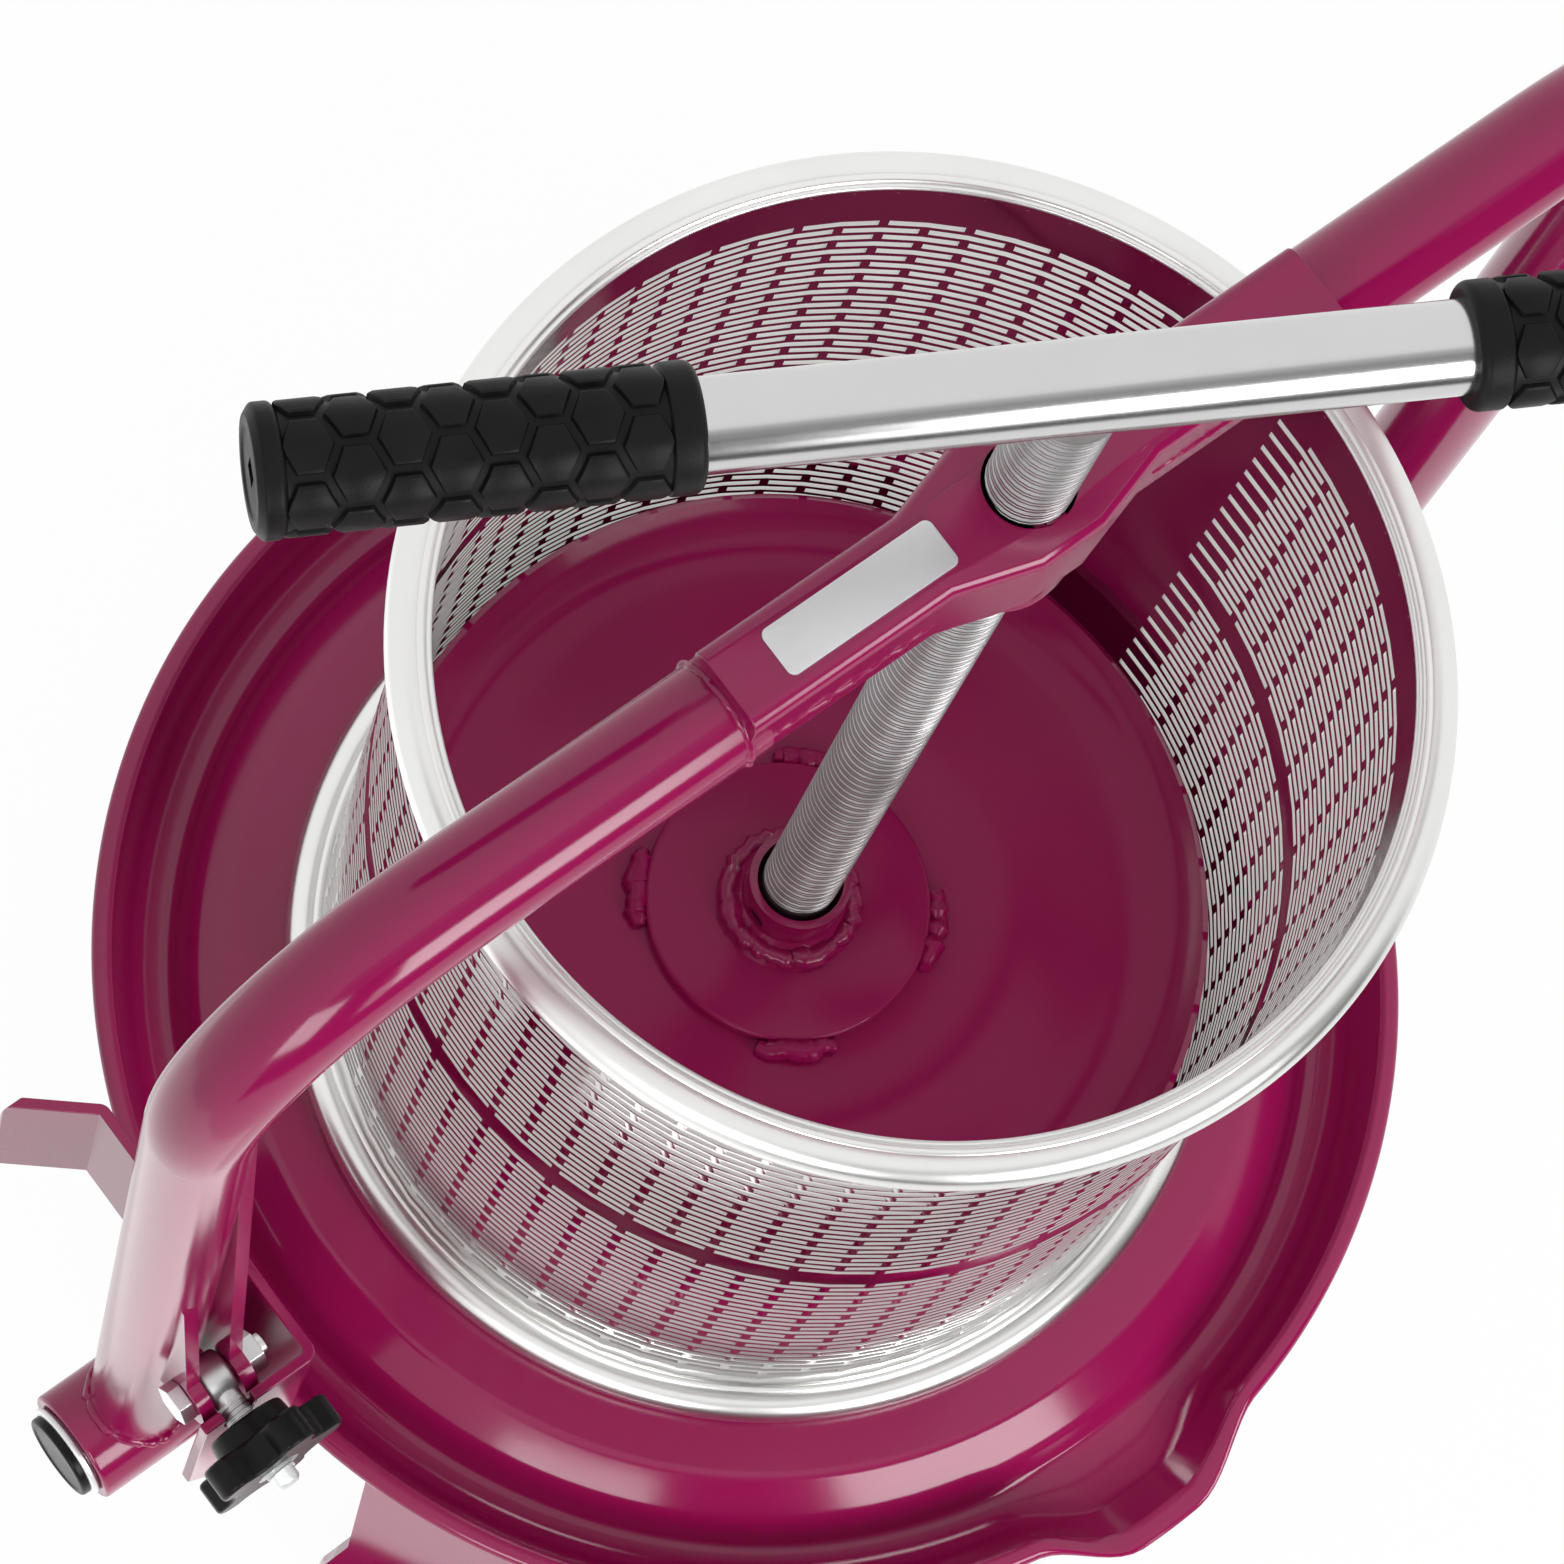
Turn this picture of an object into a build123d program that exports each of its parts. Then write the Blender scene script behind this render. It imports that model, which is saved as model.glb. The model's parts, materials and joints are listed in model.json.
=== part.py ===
from build123d import *
import os
from math import asin, degrees, radians, sin

# Basket fruit press: a juice tray on three legs, a slotted basket, and a yoke with a T-handled screw.
# The floor is z = 0 and the basket stands on the Z axis. The spout points to -Y.
# The yoke lies in the XZ plane: it swings on two axles and is latched at its -X foot.
# All sizes are millimetres.

# Basket, rolled from slotted sheet, open at both ends
basket_radius = 127.5
basket_height = 274.0
basket_sheet = 1.2
rim_bead_radius = 5.1
slot_rows = 10
slot_columns = 13
slot_row_bridge = 4.1
slot_end_bridge = 7.0
slot_margin = 18.2
slot_middle_band = 11.7
slot_seam_strip = 25.0
slot_seam_angle = 8.0

# Juice tray, pressed from sheet: a raised seat, a gutter round it, a leaning wall and a spout
seat_height = 129.0
seat_margin = 9.0
seat_shoulder_radius = 18.0
tray_sheet = 1.5
gutter_depth = 14.0
gutter_shoulder = 19.0
gutter_width = 10.5
gutter_corner_radius = 3.0
tray_wall_rise = 21.0
tray_wall_lean = 8.0
tray_lip_radius = 2.5
lip_sides = 8
spout_length = 11.0
spout_root_width = 76.0
spout_tip_width = 46.0
spout_drop = 2.0
spout_tip_depth = 15.0
spout_corner_radius = 9.0

# Legs, bent from flat bar, and the beam under the tray that ties the two brackets
leg_angles = {"leg_rear": 90.0, "leg_front_left": 210.0, "leg_front_right": 330.0}
leg_bar = 4.0
leg_inset = 8.0
leg_splay = 14.0
leg_top_width = 80.0
leg_low_width = 70.0
leg_bend_radius = 8.0
foot_length = 18.0
foot_width = 80.0
foot_flare_height = 34.0
foot_corner_radius = 9.0
beam_width = 40.0
beam_depth = 20.0
beam_wall = 3.0

# Axle brackets outside the tray rim
bracket_gap = 2.0
bracket_sheet = 3.0
bracket_bend_radius = 3.5
pivot_bracket_width = 48.0
pivot_bracket_rise = 31.0
pivot_bracket_corner = 16.0
latch_plate_rear = 20.0
latch_flange_margin = 6.2
latch_flange_drop = 55.0
latch_flange_taper = 55.0
latch_slot_depth = 6.0
stop_wing_drop = 84.0
stop_wing_height = 60.0
stop_wing_length = 36.0
stop_tab_length = 26.0
stop_tab_turn = 50.0
stop_tab_taper = 6.0
stop_tab_taper_drop = 38.0

# Yoke pivots
pivot_rise = 6.0
axle_diameter = 20.0
axle_shoulder = 2.0
axle_end_length = 2.9
sleeve_wall = 6.0
sleeve_length = 41.8
sleeve_gap = 0.4
washer_width = 5.5
washer_thickness = 2.0
cap_wall = 4.0
cap_thickness = 2.4
running_clearance = 0.05

# Yoke, bent from tube, with a box-section bridge that widens round the screw nut
yoke_tube_diameter = 25.4
yoke_wall = 2.5
yoke_rise = 102.0
yoke_leg_splay = 10.0
yoke_bend_radius = 60.0
bridge_length = 166.0
bridge_width = 22.0
bridge_height = 32.0
bridge_lift = 2.0
bridge_edge_radius = 4.0
boss_wall = 3.5
boss_drop = 4.0
boss_shoulder = 12.0
nut_wall = 3.5
nut_flange_width = 3.0
nut_flange_thickness = 4.0

# Screw and T-handle
spindle_diameter = 20.0
handle_rise = 59.5
handle_diameter = 20.5
handle_wall = 2.0
handle_turn = -28.0
grip_inner_end = 82.5
grip_length = 93.0
grip_wall = 3.55
grip_flange_width = 0.5
grip_flange_thickness = 7.0
grip_end_wall = 3.0
grip_end_flange = 5.5
grip_vent = 6.0

# Press plate and the hub that holds the screw's end
plate_clearance = 3.3
plate_sheet = 3.0
plate_rest = 60.0
plate_rim_width = 8.0
plate_rim_rise = 5.0
plate_slope_width = 24.0
plate_slope_rise = 4.0
plate_bend_radius = 6.0
disc_radius = 38.2
disc_thickness = 4.0
hub_wall = 3.5
hub_height = 20.0
hub_floor = 2.5
hub_weld = 6.0
hub_screw_diameter = 6.0
hub_screw_rise = 10.0
hub_screw_recess = 1.2
spindle_groove_depth = 2.0
spindle_end_gap = 0.5
groove_clearance = 0.3
groove_play = 0.5

# Latch: clevis on the yoke leg, eye bolt and star knob
latch_rise = 109.0
lug_thickness = 4.0
lug_clearance = 0.3
lug_radius = 8.0
lug_root_drop = 18.0
lug_rise = 70.0
gusset_rise = 190.0
gusset_step = 30.0
gusset_step_back = 2.5
gusset_top_sink = 6.0
gusset_bend_radius = 10.0
cross_bolt_diameter = 6.0
cross_bolt_across_flats = 10.0
cross_bolt_head = 4.0
cross_nut = 5.0
cross_bolt_past_nut = 2.0
eye_wall = 3.5
eye_width = 8.4
eye_back_gap = 0.8
eye_front_gap = 2.0
eye_shank_diameter = 8.0
eye_slot_clearance = 0.5
knob_gap = 2.0
knob_hub_wall = 4.5
knob_hub_length = 5.5
knob_radius = 20.0
knob_core_margin = 3.0
knob_lobe_length = 9.0
knob_lobe_width = 11.0
knob_lobes = 5
eye_bolt_past_knob = 5.0
insert_wall = 2.0

# Basket places
bead_centre_radius = basket_radius - rim_bead_radius
basket_inner_radius = basket_radius - 2 * rim_bead_radius
basket_outer_radius = basket_inner_radius + basket_sheet
basket_low_bead = seat_height + rim_bead_radius
basket_high = seat_height + basket_height
basket_high_bead = basket_high - rim_bead_radius

# Tray places
seat_radius = basket_radius + seat_margin
gutter_height = seat_height - gutter_depth
gutter_inner_radius = seat_radius + gutter_shoulder
gutter_outer_radius = gutter_inner_radius + gutter_width
tray_underside = gutter_height - tray_sheet
tray_height = gutter_height + tray_wall_rise
tray_wall_radius = gutter_outer_radius + tray_wall_lean
tray_radius = tray_wall_radius + 2 * tray_lip_radius
spout_floor = gutter_height - tray_sheet / 2
spout_reach = tray_radius + spout_length

# Stand and pivot places
leg_top_radius = gutter_outer_radius - leg_inset
foot_reach = leg_top_radius + leg_splay + foot_length
bracket_inner = tray_radius + bracket_gap
bracket_outer = bracket_inner + bracket_sheet
bracket_low = tray_underside - beam_depth
pivot_height = gutter_height + pivot_rise
sleeve_diameter = axle_diameter + 2 * sleeve_wall
sleeve_inner = bracket_outer + sleeve_gap
sleeve_outer = sleeve_inner + sleeve_length
axle_end_diameter = axle_diameter - 2 * axle_shoulder
washer_diameter = axle_end_diameter + 2 * washer_width
washer_inner = sleeve_outer + sleeve_gap
cap_diameter = axle_end_diameter + 2 * cap_wall
cap_inner = washer_inner + washer_thickness

# Yoke and screw places
yoke_leg_foot = sleeve_inner + sleeve_length / 2
yoke_leg_top = yoke_leg_foot + yoke_leg_splay
yoke_bar_height = basket_high + yoke_rise
bridge_low = yoke_bar_height + bridge_lift - bridge_height / 2
bridge_high = bridge_low + bridge_height
nut_diameter = spindle_diameter + 2 * nut_wall
nut_flange_diameter = nut_diameter + 2 * nut_flange_width
boss_diameter = nut_diameter + 2 * boss_wall
boss_low = bridge_low - boss_drop
handle_height = bridge_high + handle_rise
grip_diameter = handle_diameter + 2 * grip_wall
grip_flange_diameter = grip_diameter + 2 * grip_flange_width
grip_outer_end = grip_inner_end + grip_length

# Plate and hub places
plate_height = seat_height + plate_rest
plate_radius = basket_inner_radius - plate_clearance
plate_slope_radius = plate_radius - plate_rim_width
plate_flat_radius = plate_slope_radius - plate_slope_width
hub_low = plate_height + disc_thickness
hub_high = hub_low + hub_height
hub_diameter = spindle_diameter + 2 * hub_wall
hub_screw_height = hub_low + hub_screw_rise
spindle_end = hub_low + hub_floor + spindle_end_gap

# Latch places
latch_offset = yoke_leg_foot
latch_height = pivot_height + latch_rise
eye_diameter = cross_bolt_diameter + 2 * eye_wall
latch_forward = yoke_tube_diameter / 2 + eye_back_gap + eye_diameter / 2
lug_gap = eye_width + 2 * lug_clearance
latch_slot_width = eye_shank_diameter + 2 * eye_slot_clearance
flange_back = latch_forward + eye_diameter / 2 + eye_front_gap
flange_front = flange_back + bracket_sheet
flange_reach = latch_offset + latch_slot_width / 2 + latch_flange_margin
latch_bracket_top = latch_height + latch_slot_depth
stop_wing_low = latch_height - stop_wing_drop
stop_wing_rear = latch_plate_rear + stop_wing_length
insert_diameter = eye_shank_diameter + 2 * insert_wall
knob_hub_diameter = insert_diameter + 2 * knob_hub_wall
knob_core_radius = knob_hub_diameter / 2 + knob_core_margin
knob_hub_near = flange_front + knob_gap
knob_lobe_near = knob_hub_near + knob_hub_length
knob_far = knob_lobe_near + knob_lobe_length


def sheet_face(points, radii, thickness, side):
    """A bent sheet seen on edge: a filleted line given its thickness on one side."""
    line = Wire(FilletPolyline(*points, radius=radii).edges())
    return make_face(line.offset_2d(thickness, side=side).edges())


def along_x(diameter, start, end, y=0.0, z=0.0):
    """A round bar along X between two stations."""
    low, high = min(start, end), max(start, end)
    bar = Cylinder(diameter / 2, high - low, align=(Align.CENTER, Align.CENTER, Align.MIN))
    return Pos(low, y, z) * Rot(0, 90, 0) * bar


def along_y(diameter, start, end, x=0.0, z=0.0):
    """A round bar along Y between two stations."""
    low, high = min(start, end), max(start, end)
    bar = Cylinder(diameter / 2, high - low, align=(Align.CENTER, Align.CENTER, Align.MIN))
    return Pos(x, high, z) * Rot(90, 0, 0) * bar


def along_z(diameter, low, high):
    """A round bar on the Z axis between two heights."""
    bar = Cylinder(diameter / 2, high - low, align=(Align.CENTER, Align.CENTER, Align.MIN))
    return Pos(0, 0, low) * bar


def basket_slots():
    """Radial cutters for the two bands of staggered horizontal slots, clear of the seam strip."""
    turn = 360.0 - degrees(slot_seam_strip / basket_inner_radius)
    pitch = turn / (slot_columns + 0.5)
    slot_angle = pitch - degrees(slot_end_bridge / basket_inner_radius)
    slot_length = 2 * basket_inner_radius * sin(radians(slot_angle / 2))
    band = (basket_high_bead - basket_low_bead - 2 * slot_margin - slot_middle_band) / 2
    slot_height = (band - (slot_rows - 1) * slot_row_bridge) / slot_rows
    cutter = Box(2 * rim_bead_radius, slot_length, slot_height)
    seam_end = slot_seam_angle + degrees(slot_seam_strip / 2 / basket_inner_radius)
    cutters = []
    for band_low in (basket_low_bead + slot_margin, basket_high_bead - slot_margin - band):
        for row in range(slot_rows):
            middle = band_low + slot_height / 2 + row * (slot_height + slot_row_bridge)
            first = seam_end + pitch * (0.5 if row % 2 == 0 else 1.0)
            for column in range(slot_columns):
                place = Rot(0, 0, first + column * pitch) * Pos(basket_inner_radius, 0, middle)
                cutters.append(place * cutter)
    return cutters


def basket_wall():
    """The slotted cylinder, open at the top and the bottom."""
    wall = along_z(2 * basket_outer_radius, seat_height, basket_high)
    wall -= along_z(2 * basket_inner_radius, seat_height, basket_high)
    return wall - basket_slots()


def basket_rim(height):
    """A rolled bead closed against the outside of the basket wall."""
    bead = Pos(bead_centre_radius, height) * Circle(rim_bead_radius)
    wall = Pos(basket_outer_radius, height) * Rectangle(
        2 * rim_bead_radius, 2 * rim_bead_radius, align=(Align.MAX, Align.CENTER)
    )
    return revolve(Plane.XZ * (bead - wall), Axis.Z)


def tray_line():
    """The tray's upper surface from its centre to the lip: corner points and bend radii."""
    points = [
        (0, seat_height),
        (seat_radius, seat_height),
        (gutter_inner_radius, gutter_height),
        (gutter_outer_radius, gutter_height),
        (tray_wall_radius, tray_height - tray_lip_radius),
    ]
    return points, [seat_shoulder_radius, gutter_corner_radius, gutter_corner_radius]


def spout_share(reach):
    """How far along the spout a station lies: 0 at the gutter's edge, 1 at the tip."""
    return (reach - gutter_outer_radius) / (spout_reach - gutter_outer_radius)


def spout_half_width(reach):
    """Half the spout's outside width at a station."""
    return (spout_root_width + spout_share(reach) * (spout_tip_width - spout_root_width)) / 2


def spout_trough(inset, above, start, end):
    """A tapering trough along -Y, drawn in by an inset and carried above the spout's edge."""
    sections = []
    for reach in (start, end):
        share = spout_share(reach)
        half = spout_half_width(reach) - inset
        low = spout_floor - share * spout_drop
        high = tray_height + share * (low + spout_tip_depth - tray_height) + above
        low += inset
        corners = [(-half, high), (-half, low), (half, low), (half, high)]
        trough = FilletPolyline(*corners, radius=spout_corner_radius - inset)
        face = make_face(trough.edges() + Line(corners[-1], corners[0]).edges())
        sections.append(Plane(origin=(0, -reach, 0), x_dir=(1, 0, 0), z_dir=(0, -1, 0)) * face)
    return loft(sections)


def tray_lip():
    """The rolled lip, which stops at the spout's sides."""
    bead = RegularPolygon(tray_lip_radius, lip_sides, major_radius=False)
    bead = Pos(tray_radius - tray_lip_radius, tray_height - tray_lip_radius) * bead
    mouth = degrees(asin(spout_half_width(tray_wall_radius) / tray_wall_radius))
    return Rot(0, 0, mouth - 90.0) * revolve(Plane.XZ * bead, Axis.Z, 360.0 - 2 * mouth)


def juice_tray():
    """The pressed dish with its seat, gutter, rolled lip and pouring spout."""
    points, radii = tray_line()
    dish = revolve(Plane.XZ * sheet_face(points, radii, tray_sheet, Side.RIGHT), Axis.Z)
    over = tray_height + tray_wall_rise
    closing = Polyline(points[-1], (tray_wall_radius, over), (0, over), points[0])
    hollow_face = make_face(FilletPolyline(*points, radius=radii).edges() + closing.edges())
    hollow = revolve(Plane.XZ * hollow_face, Axis.Z)
    outside = spout_trough(0, 0, gutter_outer_radius - gutter_corner_radius, spout_reach)
    bore_start = gutter_outer_radius - 2 * gutter_corner_radius
    bore = spout_trough(tray_sheet, tray_wall_rise, bore_start, spout_reach + tray_sheet)
    return dish + (outside - hollow) - bore + tray_lip()


def leg(angle):
    """A flat-bar leg with a foot turned outwards, its top square against the tray's underside."""
    bottom = leg_top_radius + leg_splay
    points = [(leg_top_radius, tray_underside + leg_bar), (bottom, 0), (foot_reach, 0)]
    side_face = sheet_face(points, leg_bend_radius, leg_bar, Side.LEFT)
    bar = extrude(Plane.XZ * side_face, max(foot_width, leg_top_width) / 2, both=True)
    right_edge = [
        (foot_width / 2, 0),
        (foot_width / 2, leg_bar),
        (leg_low_width / 2, foot_flare_height),
        (leg_top_width / 2, tray_underside),
    ]
    outline = Polyline(*right_edge, *[(-y, z) for y, z in reversed(right_edge)], close=True)
    bar &= extrude(Plane.YZ * make_face(outline.edges()), foot_reach + leg_bar)
    tip_corners = bar.edges().filter_by(Axis.Z).group_by(Axis.X)[-1]
    return Rot(0, 0, angle) * fillet(tip_corners, foot_corner_radius)


def base_beam():
    """The box beam under the tray that carries the pull between the two brackets."""
    outer = Box(2 * bracket_inner, beam_width, beam_depth)
    bore = Box(2 * bracket_inner, beam_width - 2 * beam_wall, beam_depth - 2 * beam_wall)
    return Pos(0, 0, tray_underside - beam_depth / 2) * (outer - bore)


def axle_hole(side):
    """The hole for the pivot axle in a bracket plate."""
    return along_x(axle_diameter, side * bracket_inner, side * bracket_outer, z=pivot_height)


def pivot_bracket():
    """The plain plate that carries the axle at the +X foot."""
    height = pivot_height + pivot_bracket_rise - bracket_low
    plate = Pos(bracket_inner + bracket_sheet / 2, 0, bracket_low + height / 2) * Box(
        bracket_sheet, pivot_bracket_width, height
    )
    top_corners = plate.edges().filter_by(Axis.X).group_by(Axis.Z)[-1]
    return fillet(top_corners, pivot_bracket_corner) - axle_hole(1)


def lock_bracket():
    """The bent plate at the -X foot: axle plate, slotted latch flange, and stop wing behind."""
    tab = Vector(0, stop_tab_length, 0).rotate(Axis.Z, stop_tab_turn)
    tab_rear = stop_wing_rear + tab.Y
    bends = [
        (-flange_reach, -flange_front),
        (-bracket_inner, -flange_front),
        (-bracket_inner, stop_wing_rear),
        (tab.X - bracket_inner, tab_rear),
    ]
    plan = sheet_face(bends, bracket_bend_radius, bracket_sheet, Side.LEFT)
    strip = Pos(0, 0, bracket_low) * extrude(plan, latch_bracket_top - bracket_low)
    wing_high = stop_wing_low + stop_wing_height
    rear = tab_rear + bracket_sheet
    outline = Polyline(
        (-flange_front, bracket_low),
        (latch_plate_rear, bracket_low),
        (latch_plate_rear, stop_wing_low),
        (rear, stop_wing_low),
        (rear, wing_high - stop_tab_taper_drop),
        (rear - stop_tab_taper, wing_high),
        (latch_plate_rear + bracket_bend_radius, wing_high),
        (latch_plate_rear - bracket_bend_radius, latch_bracket_top),
        (-flange_front, latch_bracket_top),
        close=True,
    )
    tab_reach = max(flange_reach, bracket_outer - tab.X)
    strip &= Pos(-tab_reach, 0, 0) * extrude(Plane.YZ * make_face(outline.edges()), tab_reach)
    root = -bracket_outer - bracket_bend_radius
    outer_low = latch_height - latch_flange_drop
    under_flange = Polyline(
        (root, bracket_low),
        (root, outer_low - latch_flange_taper),
        (-flange_reach, outer_low),
        (-flange_reach, bracket_low),
        close=True,
    )
    strip -= Pos(0, -flange_back, 0) * extrude(Plane.XZ * make_face(under_flange.edges()), bracket_sheet)
    strip -= along_y(latch_slot_width, -flange_front, -flange_back, -latch_offset, latch_height)
    slot = Box(latch_slot_width, bracket_sheet, latch_slot_depth)
    slot_middle = (flange_front + flange_back) / 2
    strip -= Pos(-latch_offset, -slot_middle, latch_height + latch_slot_depth / 2) * slot
    return strip - axle_hole(-1)


def pivot_axle(side):
    """The stub axle welded through a bracket, with a turned-down end for its washer and cap."""
    axle = along_x(axle_diameter, side * bracket_inner, side * washer_inner, z=pivot_height)
    end = washer_inner + axle_end_length
    return axle + along_x(axle_end_diameter, side * washer_inner, side * end, z=pivot_height)


def axle_washer(side):
    """The plated ring that keeps the sleeve on its axle."""
    ring = along_x(washer_diameter, side * washer_inner, side * cap_inner, z=pivot_height)
    return ring - along_x(axle_end_diameter, side * washer_inner, side * cap_inner, z=pivot_height)


def axle_cap(side):
    """The plastic cap pressed over the axle's end."""
    cap = along_x(cap_diameter, side * cap_inner, side * (cap_inner + cap_thickness), z=pivot_height)
    axle_end = washer_inner + axle_end_length
    return cap - along_x(axle_end_diameter, side * cap_inner, side * axle_end, z=pivot_height)


def yoke_sleeve(side):
    """The pivot sleeve under a yoke leg, running on its axle."""
    outer = along_x(sleeve_diameter, side * sleeve_inner, side * sleeve_outer, z=pivot_height)
    bore = axle_diameter + 2 * running_clearance
    return outer - along_x(bore, side * sleeve_inner, side * sleeve_outer, z=pivot_height)


def yoke_bar(diameter):
    """A round bar along the +X half of the yoke: the leg, the bend and the run to the bridge."""
    line = FilletPolyline(
        (yoke_leg_foot, pivot_height),
        (yoke_leg_top, yoke_bar_height),
        (bridge_length / 2, yoke_bar_height),
        radius=yoke_bend_radius,
    )
    leg_line, bend, run = (Plane.XZ * line).edges()
    foot = Plane(origin=leg_line @ 0, z_dir=leg_line % 0) * Circle(diameter / 2)
    bend_start = Plane(origin=bend @ 0, z_dir=bend % 0) * Circle(diameter / 2)
    bend_axis = Axis(bend.arc_center, (bend % 0).cross(bend % 1))
    bar = extrude(foot, leg_line.length)
    bar += revolve(bend_start, bend_axis, degrees(bend.length / yoke_bend_radius))
    return bar + along_x(diameter, (run @ 0).X, (run @ 1).X, z=yoke_bar_height)


def yoke_tube(side):
    """One bent leg tube, coped over its pivot sleeve."""
    tube = yoke_bar(yoke_tube_diameter) - yoke_bar(yoke_tube_diameter - 2 * yoke_wall)
    tube -= along_x(sleeve_diameter, bracket_inner, cap_inner, z=pivot_height)
    return tube if side > 0 else mirror(tube, about=Plane.YZ)


def yoke_bridge():
    """The welded box between the yoke tubes, widening in plan to a boss round the screw nut."""
    half, boss = bridge_width / 2, boss_diameter / 2
    quarter = [(bridge_length / 2, half), (boss + boss_shoulder, half), (boss / 2, boss)]
    far_side = quarter + [(-x, y) for x, y in reversed(quarter)]
    near_side = [(x, -y) for x, y in reversed(far_side)]
    plan = Polyline(*far_side, *near_side, close=True)
    box = Pos(0, 0, bridge_low) * extrude(make_face(plan.edges()), bridge_height)
    rims = box.edges().filter_by(Plane.XY)
    long_rims = rims.filter_by(lambda edge: abs((edge % 0).X) > abs((edge % 0).Y))
    box = fillet(long_rims, bridge_edge_radius)
    box += along_z(boss_diameter, boss_low, bridge_low + bridge_edge_radius)
    return box - along_z(nut_diameter, boss_low, bridge_high)


def spindle_nut():
    """The threaded bush in the bridge, its flange taking the thrust from below."""
    nut = along_z(nut_diameter, boss_low, bridge_high)
    nut += along_z(nut_flange_diameter, boss_low - nut_flange_thickness, boss_low)
    bore = spindle_diameter + 2 * running_clearance
    return nut - along_z(bore, boss_low - nut_flange_thickness, bridge_high)


def press_plate():
    """The dished pressing disc."""
    points = [
        (0, plate_height),
        (plate_flat_radius, plate_height),
        (plate_slope_radius, plate_height + plate_slope_rise),
        (plate_radius - plate_sheet, plate_height + plate_slope_rise + plate_rim_rise),
    ]
    face = sheet_face(points, plate_bend_radius, plate_sheet, Side.RIGHT)
    return revolve(Plane.XZ * face, Axis.Z)


def plate_disc():
    """The doubling disc under the hub."""
    return along_z(2 * disc_radius, plate_height, hub_low)


def hub_screw_bar(inner, outer):
    """A bar along the hub's cross hole between two radii, on the -X side."""
    return along_x(hub_screw_diameter, -inner, -outer, z=hub_screw_height)


def plate_hub():
    """The collar that holds the screw's end, with a weld skirt and a cross hole."""
    hub = along_z(hub_diameter, hub_low, hub_high)
    hub += Pos(0, 0, hub_low) * Cone(
        hub_diameter / 2 + hub_weld,
        hub_diameter / 2,
        hub_weld,
        align=(Align.CENTER, Align.CENTER, Align.MIN),
    )
    hub -= along_z(spindle_diameter + 2 * running_clearance, hub_low + hub_floor, hub_high)
    return hub - hub_screw_bar(0, hub_diameter / 2 + hub_weld)


def hub_screw():
    """The grub screw in the cross hole, its tip in the screw's groove."""
    tip = spindle_diameter / 2 - spindle_groove_depth + groove_clearance
    return hub_screw_bar(tip, hub_diameter / 2 - hub_screw_recess)


def handle_place():
    """Turns pieces made along X onto the T-bar's line."""
    return Pos(0, 0, handle_height) * Rot(0, 0, handle_turn)


def spindle():
    """The screw, grooved at its lower end and saddled to the T-bar at its top."""
    bar = along_z(spindle_diameter, spindle_end, handle_height)
    low = hub_screw_height - hub_screw_diameter / 2 - groove_play
    high = hub_screw_height + hub_screw_diameter / 2 + groove_play
    neck = spindle_diameter - 2 * spindle_groove_depth
    bar -= along_z(spindle_diameter, low, high) - along_z(neck, low, high)
    return bar - handle_place() * along_x(handle_diameter, -spindle_diameter, spindle_diameter)


def handle_bar():
    """The T-bar tube."""
    reach = grip_outer_end - grip_end_wall
    bar = along_x(handle_diameter, -reach, reach)
    return handle_place() * (bar - along_x(handle_diameter - 2 * handle_wall, -reach, reach))


def grip(side):
    """A rubber grip: a sleeve with a flange at each end and a vented end wall."""
    body = along_x(grip_diameter, side * grip_inner_end, side * grip_outer_end)
    inner_flange = side * (grip_inner_end + grip_flange_thickness)
    body += along_x(grip_flange_diameter, side * grip_inner_end, inner_flange)
    body += along_x(grip_flange_diameter, side * (grip_outer_end - grip_end_flange), side * grip_outer_end)
    body -= along_x(handle_diameter, side * grip_inner_end, side * (grip_outer_end - grip_end_wall))
    vent = Pos(side * (grip_outer_end - grip_end_wall / 2), 0, 0) * Box(grip_end_wall, grip_vent, grip_vent)
    return handle_place() * (body - vent)


def latch_lug(offset, rise, top_sink):
    """One clevis plate on the front of the -X yoke leg: it leans with the leg and tapers up to a rise."""
    front = -latch_forward
    low, step, high = latch_height - lug_root_drop, latch_height + gusset_step, latch_height + rise
    outline = Polyline(
        (0, low),
        (front, latch_height - lug_radius),
        (front, latch_height + lug_radius),
        (front + gusset_step_back, step),
        (top_sink - yoke_tube_diameter / 2, high),
        (0, high),
        close=True,
    )
    face = make_face(outline.edges()) + Pos(front, latch_height) * Circle(lug_radius)
    middle = -latch_offset + offset
    outer = middle - lug_thickness / 2
    lean = (high - step) * yoke_leg_splay / (yoke_bar_height - pivot_height)
    bends = [(outer, low), (outer, step), (outer - lean, high)]
    strip = sheet_face(bends, gusset_bend_radius, lug_thickness, Side.RIGHT)
    plate = extrude(Plane.XZ * strip, latch_forward + lug_radius, both=True)
    plate &= Pos(middle, 0, 0) * extrude(Plane.YZ * face, lug_thickness + lean, both=True)
    plate -= along_x(
        cross_bolt_diameter, middle - lug_thickness, middle + lug_thickness, front, latch_height
    )
    return plate - mirror(yoke_bar(yoke_tube_diameter), about=Plane.YZ)


def latch_clevis():
    """The two clevis plates; the inner one runs up the leg as a gusset."""
    offset = (lug_gap + lug_thickness) / 2
    lug = latch_lug(-offset, lug_rise, 0)
    gusset = latch_lug(offset, gusset_rise, gusset_top_sink)
    return Compound([*lug.solids(), *gusset.solids()])


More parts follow.
